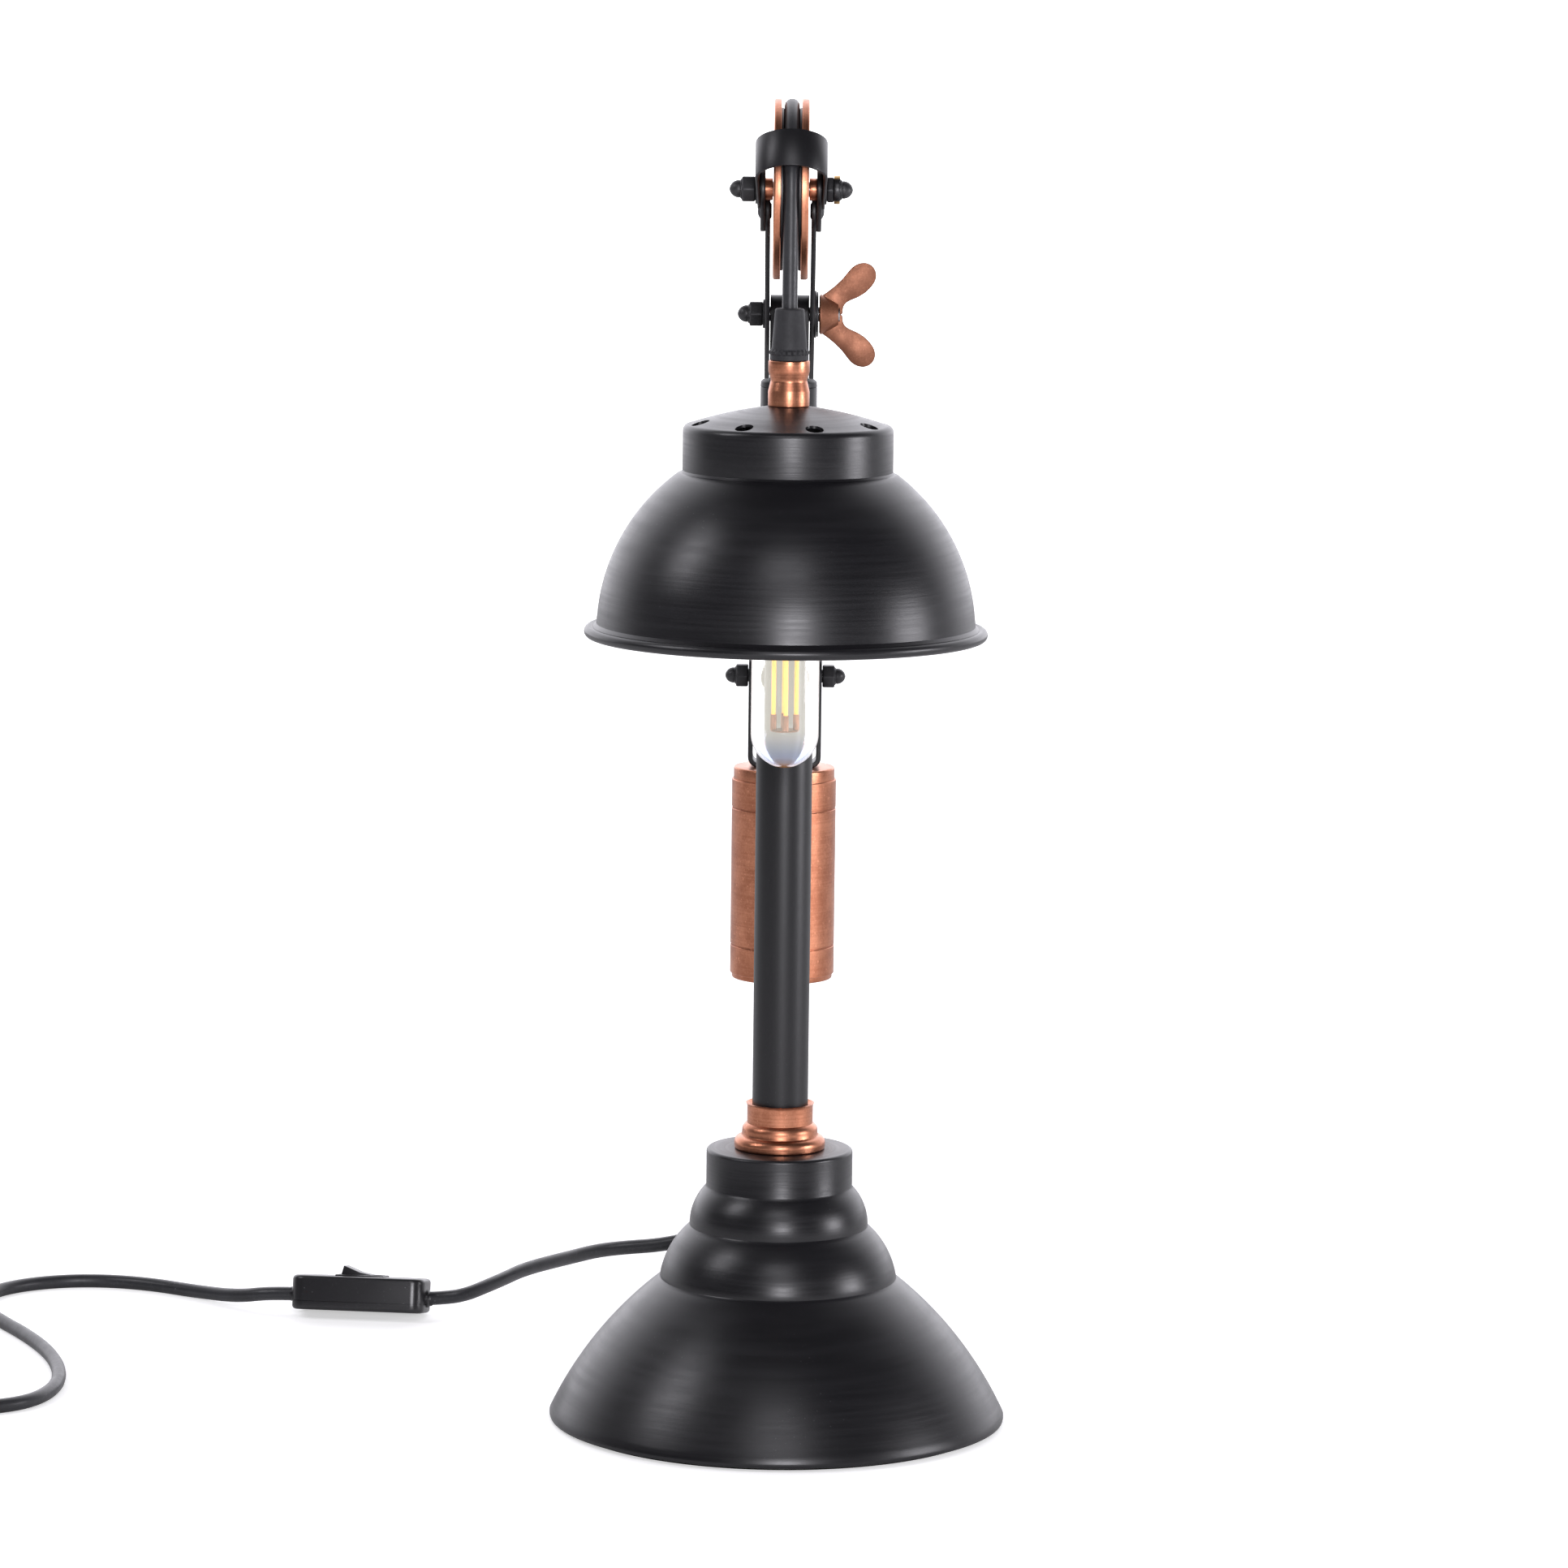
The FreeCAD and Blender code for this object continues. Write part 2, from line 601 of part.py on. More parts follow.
def pivot_pieces():
    """The arm's clamping bolt with its cap nut and washers."""
    left = -BAR_OUTER - WASHER_T
    right = BAR_OUTER + 2 * WASHER_T
    end = left - NUT_T + 1.0
    bolt = rod(end, right + SIDE_GAP + WING_HUB_L - 1.0, BOLT_R, 0, PIVOT_Z)
    nut = mirror_x(blind_cap_nut(-left, 0, PIVOT_Z, -end))
    washers = [tube_x(left, -BAR_OUTER, WASHER_R, BOLT_R, 0, PIVOT_Z)]
    for k in range(2):
        face = BAR_OUTER + k * WASHER_T
        washers.append(tube_x(face, face + WASHER_T, CLAMP_WASHER_R - 0.4 * k, BOLT_R, 0, PIVOT_Z))
    return {"pivot_bolt": bolt, "pivot_cap_nut": nut, "pivot_washers": Part.makeCompound(washers)}


def wing_nut():
    """A stamped wing nut: two lobed wings in one plane on a cone hub."""
    foot = BAR_OUTER + 2 * WASHER_T + SIDE_GAP

    def lobe(degrees):
        turn = math.radians(degrees)
        return (WING_TIP_X + WING_TIP_R * math.cos(turn), WING_TIP_Z + WING_TIP_R * math.sin(turn))

    root = (WING_ROOT_IN, WING_HUB_R - 1.2)
    start = lobe(145)
    end = lobe(-50)
    nose = (WING_HUB_L, WING_NOSE_R)
    flank = ((root[0] + start[0]) / 2 + 0.5, (root[1] + start[1]) / 2 - 0.5)
    inner = ((end[0] + nose[0]) / 2 + 0.4, (end[1] + nose[1]) / 2 - 0.4)
    up = [root, flank, start, lobe(50), end, inner, nose]
    low = [(x, -z) for x, z in reversed(up)]
    face = outline(
        [up[0], up[1] + up[2], up[3] + up[4], up[5] + up[6], (WING_HUB_L - 1.0, 0.0) + low[0],
         low[1] + low[2], low[3] + low[4], low[5] + low[6]],
        lambda x, z: vec(foot + x, -WING_T / 2, PIVOT_Z + z))
    plate = face.extrude(vec(0, WING_T, 0))
    hub = turned([(foot, 0), (foot, WING_HUB_R), (foot + 1.0, WING_HUB_R),
                  (foot + WING_HUB_L - 1.6, WING_NOSE_R + 0.5), (foot + WING_HUB_L - 1.6, 0)],
                 0, PIVOT_Z)
    nut = hub.fuse(plate)
    return nut.cut(rod(foot - 1, foot + WING_HUB_L + 1, BOLT_R + BOLT_GAP, 0, PIVOT_Z))


def rear_pieces():
    """The rear bolt, with the tube between the bars and the nuts outside the bail."""
    face = BAIL_INNER + BAIL_T + RUN_GAP
    end = face + NUT_T - 1.0
    bolt = rod(-end, end, BOLT_R, REAR_Y, REAR_Z)
    nut = blind_cap_nut(face, REAR_Y, REAR_Z, end)
    between = tube_x(-BAR_INNER, BAR_INNER, SPACER_R, BOLT_R, REAR_Y, REAR_Z)
    side = tube_x(BAR_OUTER, BAIL_INNER - RUN_GAP, SPACER_R, BOLT_R, REAR_Y, REAR_Z)
    return {"rear_bolt": bolt, "rear_cap_nuts": Part.makeCompound([nut, mirror_x(nut)]),
            "rear_spacers": Part.makeCompound([between, side, mirror_x(side)])}


def weight_pieces():
    """The bail and the copper canister of tube, caps, screw and ballast."""
    half = BAIL_W / 2
    foot = WEIGHT_TOP_Z
    inner = BAIL_INNER
    outer = BAIL_INNER + BAIL_T
    bend = BAIL_CORNER
    inside = bend - BAIL_T
    cut45 = 1 - math.cos(math.pi / 4)
    face = outline(
        [(-outer, REAR_Z), (-outer, foot + bend),
         (-outer + bend * cut45, foot + bend * cut45, -outer + bend, foot),
         (outer - bend, foot),
         (outer - bend * cut45, foot + bend * cut45, outer, foot + bend),
         (outer, REAR_Z), (inner, REAR_Z), (inner, foot + bend),
         (inner - inside * cut45, foot + BAIL_T + inside * cut45, outer - bend, foot + BAIL_T),
         (-outer + bend, foot + BAIL_T),
         (-inner + inside * cut45, foot + BAIL_T + inside * cut45, -inner, foot + bend),
         (-inner, REAR_Z)],
        lambda x, z: vec(x, REAR_Y - half, z))
    bail = face.extrude(vec(0, BAIL_W, 0))
    for low in (-outer, inner):
        bail = bail.fuse(rod(low, low + BAIL_T, half, REAR_Y, REAR_Z))
    bail = bail.cut(rod(-outer - 1, outer + 1, BOLT_R + BOLT_GAP, REAR_Y, REAR_Z)).removeSplitter()
    screw_r = BOLT_R
    bail = bail.cut(Part.makeCylinder(screw_r, 20, vec(0, REAR_Y, foot - 5)))
    top = WEIGHT_TOP_Z
    low = top - WEIGHT_L
    wall_r = WEIGHT_R - WEIGHT_WALL
    band = top - CAP_LIP_TOP
    cap_top = spun([
        (screw_r, top), (WEIGHT_R - CAP_LIP_IN - 0.6, top), (WEIGHT_R - CAP_LIP_IN, top - 0.6),
        (WEIGHT_R - CAP_LIP_IN, band), (WEIGHT_R, band), (WEIGHT_R, band - CAP_BAND_H + SEAM_W),
        (WEIGHT_R - SEAM_D, band - CAP_BAND_H + SEAM_W), (WEIGHT_R - SEAM_D, band - CAP_BAND_H),
        (wall_r, band - CAP_BAND_H), (wall_r, top - CAP_PLATE), (screw_r, top - CAP_PLATE)],
        REAR_Y)
    base_band = low + CAP_LIP_LOW
    cap_low = spun([
        (0, low), (WEIGHT_R - CAP_LIP_IN - 0.6, low), (WEIGHT_R - CAP_LIP_IN, low + 0.6),
        (WEIGHT_R - CAP_LIP_IN, base_band), (WEIGHT_R, base_band),
        (WEIGHT_R, base_band + CAP_BAND_H - SEAM_W),
        (WEIGHT_R - SEAM_D, base_band + CAP_BAND_H - SEAM_W),
        (WEIGHT_R - SEAM_D, base_band + CAP_BAND_H),
        (wall_r, base_band + CAP_BAND_H), (wall_r, low + CAP_PLATE), (0, low + CAP_PLATE)], REAR_Y)
    tube_low = base_band + CAP_BAND_H
    tube_high = band - CAP_BAND_H
    tube = spun([(wall_r, tube_low), (WEIGHT_R, tube_low), (WEIGHT_R, tube_high),
                 (wall_r, tube_high)], REAR_Y)
    slug = Part.makeCylinder(wall_r - SLACK, BALLAST_H, vec(0, REAR_Y, low + CAP_PLATE))
    head_z = foot + BAIL_T
    mid_r, mid_h = cap_arc(SCREW_HEAD_R, SCREW_HEAD_H)
    screw = spun([(0, top - CAP_PLATE - 6), (screw_r, top - CAP_PLATE - 6), (screw_r, head_z),
                  (SCREW_HEAD_R, head_z), (mid_r, head_z + mid_h, 0, head_z + SCREW_HEAD_H)],
                 REAR_Y)
    return {"weight_bail": bail, "weight_cap_top": cap_top, "weight_cap_low": cap_low,
            "weight_tube": tube, "weight_slug": slug, "weight_screw": screw}


def shade_surface(inset):
    """The shade's outside down to its foot, or its inside where inset is the wall."""
    top = NECK_FOOT_Z - inset
    collar_r = SHADE_COLLAR_R - inset
    edge = SHADE_EDGE - inset * 0.6
    round_off = edge * (1 - math.cos(math.pi / 4))
    shoulder = COLLAR_TOP_Z - inset
    crown_r = collar_r - edge
    low = COLLAR_FOOT_Z - BELL_H - (3.0 if inset else 0.0)
    foot_r = BELL_FOOT[0] - inset
    return spun([
        (0, low),
        (foot_r + (0.0 if inset else 0.8), low),
        (foot_r, COLLAR_FOOT_Z - BELL_FOOT[1]),
        (BELL_BELLY[0] - inset * 0.8, COLLAR_FOOT_Z - BELL_BELLY[1] - inset * 0.6,
         BELL_START_R - inset, COLLAR_FOOT_Z - inset),
        (collar_r, COLLAR_FOOT_Z + 0.8 - inset),
        (collar_r, shoulder - edge),
        (collar_r - round_off, shoulder - round_off, crown_r, shoulder),
        (crown_r * 0.55, shoulder + SHADE_CROWN_H * 0.68, NECK_R + 0.5, top),
        (0, top)], HANG_Y)


def shade_shell():
    """One spun shell with a rolled bead at its foot and vents round its crown."""
    shell = shade_surface(0).cut(shade_surface(SHADE_WALL))
    bead_z = COLLAR_FOOT_Z - BELL_H + BEAD_R
    bead = Part.makeTorus(BEAD_RING_R, BEAD_R, vec(0, HANG_Y, bead_z))
    flare = spun([(BELL_FOOT[0] - SHADE_WALL, bead_z - 1.0), (BEAD_RING_R, bead_z - 1.0),
                  (BEAD_RING_R, bead_z + 1.4), (BELL_FOOT[0] - 0.2, bead_z + 3.2),
                  (BELL_FOOT[0] - SHADE_WALL, bead_z + 3.2)], HANG_Y)
    shell = shell.fuse([bead, flare])
    shell = shell.cut(Part.makeCylinder(HOLDER_NIPPLE_R + FIT_GAP, 40,
                                        vec(0, HANG_Y, NECK_FOOT_Z - 20)))
    for k in range(VENT_COUNT):
        turn = math.radians(VENT_TURN + 360.0 / VENT_COUNT * k - 90)
        spot = vec(VENT_RING_R * math.cos(turn), HANG_Y + VENT_RING_R * math.sin(turn),
                   COLLAR_TOP_Z - SHADE_COLLAR_H / 2)
        shell = shell.cut(Part.makeCylinder(VENT_R, SHADE_COLLAR_H, spot))
    return shell


def neck_pieces():
    """The copper neck with its waist, the ring on it and the strain relief."""
    mid = (NECK_TOP_Z + NECK_FOOT_Z) / 2 + 1.2
    waist = NECK_R - NECK_WAIST_R
    inner = NECK_WAIST_R - NECK_WALL
    lip_z = RELIEF_FOOT_Z
    neck = spun([
        (inner, NECK_FOOT_Z), (NECK_R - 0.5, NECK_FOOT_Z), (NECK_R, NECK_FOOT_Z + 0.5),
        (NECK_R, mid - 4.0), (NECK_R - waist * 0.4, mid - 1.9, NECK_WAIST_R, mid),
        (NECK_R - waist * 0.4, mid + 1.9, NECK_R, mid + 4.0),
        (NECK_R, NECK_TOP_Z - 0.5), (NECK_R - 0.5, NECK_TOP_Z), (inner, NECK_TOP_Z)], HANG_Y)
    ring = spun([(FLEX_R, NECK_TOP_Z), (NECK_RING_R, NECK_TOP_Z), (NECK_RING_R, lip_z),
                 (FLEX_R, lip_z)], HANG_Y)
    relief = spun([
        (FLEX_R, lip_z), (RELIEF_LIP_R, lip_z), (RELIEF_LIP_R, lip_z + RELIEF_LIP_H),
        (RELIEF_LOW_R, lip_z + RELIEF_LIP_H + 0.3), (RELIEF_TOP_R, RELIEF_TOP_Z - 0.8),
        (RELIEF_TOP_R - 0.2, RELIEF_TOP_Z - 0.2, RELIEF_TOP_R - 0.8, RELIEF_TOP_Z),
        (FLEX_R, RELIEF_TOP_Z)], HANG_Y)
    return {"shade_neck": neck, "neck_ring": ring, "flex_relief": relief}


def holder_pieces():
    """The lamp holder under the crown, with its nipple and nut."""
    roof = NECK_FOOT_Z - SHADE_WALL
    nut_low = roof - HOLDER_NUT_T
    cap_low = nut_low - HOLDER_CAP_L
    low = nut_low - HOLDER_L
    nipple_top = NECK_FOOT_Z + NECK_L * 0.35
    nipple = spun([(FLEX_R + 0.2, cap_low + 4), (HOLDER_NIPPLE_R, cap_low + 4),
                   (HOLDER_NIPPLE_R, nipple_top), (FLEX_R + 0.2, nipple_top)], HANG_Y)
    nut = hexagon(0, HOLDER_NUT_T, HOLDER_NUT_AF, 0, 0)
    nut.rotate(vec(0, 0, 0), vec(0, 1, 0), -90)
    nut.translate(vec(0, HANG_Y, nut_low))
    nut = nut.cut(Part.makeCylinder(HOLDER_NIPPLE_R, 40, vec(0, HANG_Y, nut_low - 20)))
    cap = spun([(HOLDER_NIPPLE_R, nut_low), (HOLDER_R * 0.6, nut_low),
                (HOLDER_R * 0.92, nut_low - 3.2, HOLDER_R, cap_low + 3), (HOLDER_R, cap_low),
                (HOLDER_R - HOLDER_WALL, cap_low), (HOLDER_R - HOLDER_WALL, cap_low + 4),
                (HOLDER_NIPPLE_R, cap_low + 4)], HANG_Y)
    barrel = spun([(BULB_CAP_R + FIT_GAP, low), (HOLDER_R - 1, low), (HOLDER_R, low + 1),
                   (HOLDER_R, cap_low), (BULB_CAP_R + FIT_GAP, cap_low)], HANG_Y)
    return {"holder_nipple": Part.makeCompound([nipple, nut]), "holder_cap": cap,
            "holder_barrel": barrel}, low


def bulb_pieces(holder_low):
    """The tubular bulb: hollow glass, screw cap, post and filament sticks."""
    tip = NECK_FOOT_Z - BULB_TIP_DROP
    shoulder = holder_low - BULB_SHOULDER
    flat = BULB_R * 0.86

    def glass_outline(inset, start):
        radius = BULB_R - inset
        end = tip + inset
        corner = radius * 0.8
        return [(0, start), (BULB_NECK_R - inset, start), (BULB_NECK_R - inset, holder_low - 1.5),
                (BULB_R * 0.86 - inset, shoulder + 3.6, radius, shoulder - 3.0),
                (radius, end + corner),
                (radius - corner * 0.22, end + corner * 0.34, radius - corner, end)] + \
               ([(0, end)] if inset or flat else [])

    glass = spun(glass_outline(0, holder_low + 3.0), HANG_Y)
    glass = glass.cut(spun(glass_outline(BULB_WALL, holder_low + 1.6), HANG_Y))
    cap_foot = holder_low - 0.8
    cap = spun([(0, holder_low + 3.0), (BULB_NECK_R, holder_low + 3.0), (BULB_NECK_R, cap_foot),
                (BULB_CAP_R, cap_foot), (BULB_CAP_R, cap_foot + BULB_CAP_L - 4),
                (3.2, cap_foot + BULB_CAP_L), (0, cap_foot + BULB_CAP_L)], HANG_Y)
    post_top = holder_low + 1.6
    post_low = shoulder - 4.0
    post = spun([(0, post_low), (POST_R * 0.6, post_low), (POST_R, post_low + 3),
                 (POST_R * 2.0, post_top), (0, post_top)], HANG_Y)
    sticks = []
    for k in range(FILAMENT_COUNT):
        turn = math.radians(45 + 360.0 / FILAMENT_COUNT * k)
        spot = vec(FILAMENT_RING * math.cos(turn), HANG_Y + FILAMENT_RING * math.sin(turn),
                   post_low - FILAMENT_L)
        sticks.append(Part.makeCylinder(FILAMENT_R, FILAMENT_L + 1, spot))
    hub_r = FILAMENT_RING + FILAMENT_R + 0.5
    hub_low = Part.makeCylinder(hub_r, 1.0,
                                vec(0, HANG_Y, post_low - FILAMENT_L - 1.0))
    hub_high = Part.makeCylinder(hub_r, 1.0, vec(0, HANG_Y, post_low - 1.0))
    spine = Part.makeCylinder(0.6, FILAMENT_L, vec(0, HANG_Y, post_low - FILAMENT_L))
    cage = sticks[0].fuse(sticks[1:] + [hub_low, hub_high, spine])
    return {"bulb_glass": glass, "bulb_cap": cap, "bulb_post": post, "bulb_filaments": cage}


def flex_guide():
    """Where the flex leaves the pulley and the way it takes behind the tongue."""
    behind = vec(0, TONGUE_W / 2 + FLEX_R + 6.4, PIVOT_Z + 2.0)
    run_y = behind.y - AXLE_Y
    run_z = behind.z - AXLE_Z
    reach = math.hypot(run_y, run_z)
    down = math.atan2(-run_z, run_y) + math.asin(PITCH_R / reach)
    leave = vec(0, AXLE_Y + PITCH_R * math.sin(down), AXLE_Z + PITCH_R * math.cos(down))
    return leave, behind, down


def flex_pieces(wall_r):
    """The flex in four stretches: drop, over the pulley, behind the tongue and in the stem."""
    leave, behind, down = flex_guide()
    neck_end = NECK_FOOT_Z + NECK_L * 0.35
    drop = Part.makeCylinder(FLEX_R, AXLE_Z - neck_end, vec(0, HANG_Y, neck_end))
    front = vec(0, HANG_Y, AXLE_Z)
    crown = (math.pi + math.pi / 2 - down) / 2
    middle = vec(0, AXLE_Y + PITCH_R * math.cos(crown), AXLE_Z + PITCH_R * math.sin(crown))
    over = Part.Arc(front, middle, leave).toShape()
    toward = (behind - leave).normalize()
    split = leave + toward * ((behind - leave).Length - 24.0)
    straight = Part.LineSegment(leave, split).toShape()
    wrap = sweep([over, straight], FLEX_R, front, UP)
    entry = vec(0, STEM_R + 6.0, STEM_TOP_Z - 9.6)
    inside = vec(0, 0, STEM_TOP_Z - PLUG_DEPTH - 12.0)
    outward = gland_place()
    gland_in = outward * (wall_r - GLAND_IN) + vec(0, 0, GLAND_Z)
    tail_points = [split, behind, vec(0, behind.y + 3.6, PIVOT_Z - 18.0), entry, inside,
                   vec(0.3, 0.2, inside.z - 26.0), vec(0, 0, inside.z - 60.0),
                   vec(0, 0, GLAND_Z + 20.0), outward * (wall_r - GLAND_IN - 24.0)
                   + vec(0, 0, GLAND_Z + 0.4), gland_in]
    return {"flex_drop": drop, "flex_over_pulley": wrap}, tail_points


def stem_hole(points):
    """The heading and middle of the hole where the flex enters the pipe."""
    entry = points[3]
    inside = points[4]
    heading = (inside - entry).normalize()
    reach = (entry.y - STEM_R) / -heading.y
    return entry + heading * reach, heading


def flex_grommet(points, pipe, head):
    spot, heading = stem_hole(points)
    ring = Part.makeCylinder(FLEX_R + 2.6, 8.4, spot - heading * 4.6, heading)
    bore_r = FLEX_R + FIT_GAP * 3
    ring = ring.cut(Part.makeCylinder(bore_r, 40, spot - heading * 20, heading))
    return ring.cut(pipe).cut(head)


def switch_pieces():
    """The in-line switch: two shells, and the rocker in its window."""
    start = vec(SWITCH_A[0], SWITCH_A[1], 0)
    end = vec(SWITCH_B[0], SWITCH_B[1], 0)
    heading = (end - start).normalize()
    angle = math.degrees(math.atan2(heading.y, heading.x))
    block = Part.makeBox(SWITCH_L, SWITCH_W, SWITCH_H, vec(0, -SWITCH_W / 2, 0))
    upright = [edge for edge in block.Edges if edge.BoundBox.ZLength > 1]
    block = block.makeFillet(SWITCH_EDGE * 2, upright)
    rims = [edge for edge in block.Edges if edge.BoundBox.ZLength < 1e-3
            and edge.BoundBox.ZMax > SWITCH_H - 1e-3]
    block = block.makeFillet(SWITCH_EDGE, rims)
    window = Part.makeBox(ROCKER_L + 1, ROCKER_W + 1, 20,
                          vec(SWITCH_L / 2 - ROCKER_L / 2 - 0.5, -ROCKER_W / 2 - 0.5,
                              SWITCH_H - ROCKER_DROP - ROCKER_SWEEP))
    block = block.cut(window)
    slab = Part.makeBox(SWITCH_L + 2, SWITCH_W + 2, SWITCH_SPLIT, vec(-1, -SWITCH_W / 2 - 1, 0))
    low = block.common(slab)
    high = block.cut(slab)
    half = ROCKER_L / 2
    mid = SWITCH_L / 2
    pivot_z = SWITCH_H - ROCKER_SINK
    lift = half * math.tan(math.radians(ROCKER_TILT))
    face = outline([(mid - half, SWITCH_H - ROCKER_DROP), (mid + half, SWITCH_H - ROCKER_DROP),
                    (mid + half, SWITCH_H + 1.4 + lift), (mid, SWITCH_H + 0.9),
                    (mid - half, SWITCH_H - 0.9)],
                   lambda x, z: vec(x, -ROCKER_W / 2, z))
    rocker = face.extrude(vec(0, ROCKER_W, 0))
    swept = Part.makeCylinder(half, ROCKER_W, vec(mid, -ROCKER_W / 2, pivot_z), vec(0, 1, 0))
    rocker = rocker.common(swept)
    placed = []
    for shape in (low, high, rocker):
        shape.translate(vec(0, 0, -SWITCH_BORE_H))
        shape.rotate(vec(0, 0, 0), vec(1, 0, 0), SWITCH_ROLL)
        shape.translate(vec(0, 0, SWITCH_BORE_Z))
        shape.rotate(vec(0, 0, 0), UP, angle)
        shape.translate(start)
        placed.append(shape)
    return {"switch_shell_low": placed[0], "switch_shell_top": placed[1],
            "switch_rocker": placed[2]}


def mains_routes(wall_r):
    """The lead's points: from the gland to the switch, and on to the coil."""
    outward = gland_place()
    gland_end = outward * (wall_r + GLAND_OUT) + vec(0, 0, GLAND_Z)
    start = vec(SWITCH_A[0], SWITCH_A[1], SWITCH_BORE_Z)
    end = vec(SWITCH_B[0], SWITCH_B[1], SWITCH_BORE_Z)
    along = (end - start).normalize()
    near = [gland_end - outward * (GLAND_OUT + GLAND_IN), gland_end + outward * 7.0,
            vec(-22.5, 86.0, 65.0), vec(-36.0, 94.5, 58.6), vec(-52.0, 99.0, 54.0),
            vec(-68.0, 103.5, 51.8), vec(-80.0, 111.5, 48.6), vec(-92.0, 124.5, 42.8),
            vec(-113.5, 152.0, 31.4), vec(-124.0, 168.5, 23.0), vec(-132.7, 177.7, 17.3),
            vec(-140.8, 183.6, 12.6), start - along * 10.0 + vec(0, 0, 0.9), start]
    far = [start + along * SWITCH_L, start + along * (SWITCH_L + 12.0), vec(-247.0, 206.0, 5.2),
           vec(-267.1, 224.0, CORD_R), vec(-293.0, 241.0, CORD_R), vec(-320.3, 247.0, CORD_R),
           vec(-345.5, 238.5, CORD_R), vec(-362.6, 218.8, CORD_R), vec(-365.0, 191.0, CORD_R),
           vec(-352.5, 161.6, CORD_R), vec(-335.4, 129.6, CORD_R), vec(-321.0, 94.6, CORD_R),
           vec(-312.1, 58.1, CORD_R), vec(-310.8, 24.7, CORD_R), vec(-320.3, -2.6, CORD_R),
           vec(-345.0, -14.4, CORD_R), vec(COIL_START[0] + 30.0, COIL_START[1] - 0.2, CORD_R),
           vec(COIL_START[0] + 2 * CORD_R, COIL_START[1], CORD_R)]
    tail_z = CORD_R + COIL_LAYER
    axis_z = PLUG_R
    x0 = COIL_START[0] - 2 * CORD_R
    tail = [vec(x0, COIL_START[1], tail_z), vec(x0 - 16.0, COIL_START[1] - 0.6, tail_z + 0.4),
            vec(x0 - 38.0, COIL_START[1] - 1.6, axis_z - 1.6),
            vec(PLUG_X + 12.0, COIL_START[1], axis_z), vec(PLUG_X, COIL_START[1] + 0.6, axis_z)]
    return near, far, tail


def mains_coil():
    """Flat turns that spiral in on the surface, climb a layer and spiral out again."""
    centre = vec(COIL_START[0], COIL_START[1] - COIL_OUT_R, CORD_R)
    steps = COIL_TURNS * 2 * 4
    inner_r = COIL_OUT_R - COIL_PITCH * COIL_TURNS

    def point(quarters):
        turns = quarters / 4.0
        inward = min(turns, 2 * COIL_TURNS - turns)
        radius = COIL_OUT_R - COIL_PITCH * inward
        climb = min(1.0, max(0.0, (turns - COIL_TURNS + 0.25) * 2))
        height = COIL_LAYER * (1 - math.cos(math.pi * climb)) / 2
        angle = math.pi / 2 + 2 * math.pi * turns
        return centre + vec(radius * math.cos(angle), radius * math.sin(angle), height)

    def heading(quarters):
        if quarters in (0, steps):
            return vec(-1, 0, 0)
        small = 0.02
        return (point(quarters + small) - point(quarters - small)).normalize()

    edges = [Part.LineSegment(point(0) + vec(2 * CORD_R, 0, 0), point(0)).toShape()]
    for k in range(steps):
        edges.extend(biarc(point(k), heading(k), point(k + 1), heading(k + 1)))
    edges.append(Part.LineSegment(point(steps), point(steps) - vec(2 * CORD_R, 0, 0)).toShape())
    start = point(0) + vec(2 * CORD_R, 0, 0)
    tube = sweep(edges, CORD_R, start, vec(-1, 0, 0))
    length = sum(edge.Length for edge in edges)
    spots = []
    for k in range(steps * 12 + 1):
        spots.append(point(k / 12.0))
    least = min((a - b).Length for i, a in enumerate(spots) for b in spots[i + 12:])
    print("mains_coil length", round(length, 1), "inner radius", inner_r,
          "least gap", round(least - 2 * CORD_R, 2),
          "volume share", round(tube.Volume / (math.pi * CORD_R ** 2 * length), 4))
    floor = Part.makeBox(400, 400, 10, centre - vec(200, 200, CORD_R + 10 - COIL_FLAT))
    return tube.cut(floor)


def plug_pieces():
    """A round moulded plug that lies on its side, with two pins."""
    y = COIL_START[1] + 0.6
    face_x = PLUG_X - PLUG_RELIEF_L - PLUG_GRIP_L - PLUG_L
    body_x = face_x + PLUG_L
    body = turned([(PLUG_X, 0), (PLUG_X, PLUG_RELIEF_R - 0.8), (PLUG_X - 1, PLUG_RELIEF_R),
                   (PLUG_X - PLUG_RELIEF_L, PLUG_RELIEF_R + 1.2),
                   (PLUG_X - PLUG_RELIEF_L - 3, PLUG_GRIP_R - 1.5),
                   (body_x + 6, PLUG_GRIP_R), (body_x, PLUG_R - 2.0),
                   (body_x - 3, PLUG_R), (face_x + 1.5, PLUG_R), (face_x, PLUG_R - 1.5),
                   (face_x, 0)], y, PLUG_R)
    pins = []
    for side in (-1, 1):
        z = PLUG_R
        spot = y + side * PIN_SPACING / 2
        pin = turned([(face_x, 0), (face_x, PIN_R), (face_x - PIN_L + 1.2, PIN_R),
                      (face_x - PIN_L, PIN_R - 1.0), (face_x - PIN_L, 0)], spot, z)
        pins.append(pin)
    return {"plug_body": body, "plug_pins": Part.makeCompound(pins)}


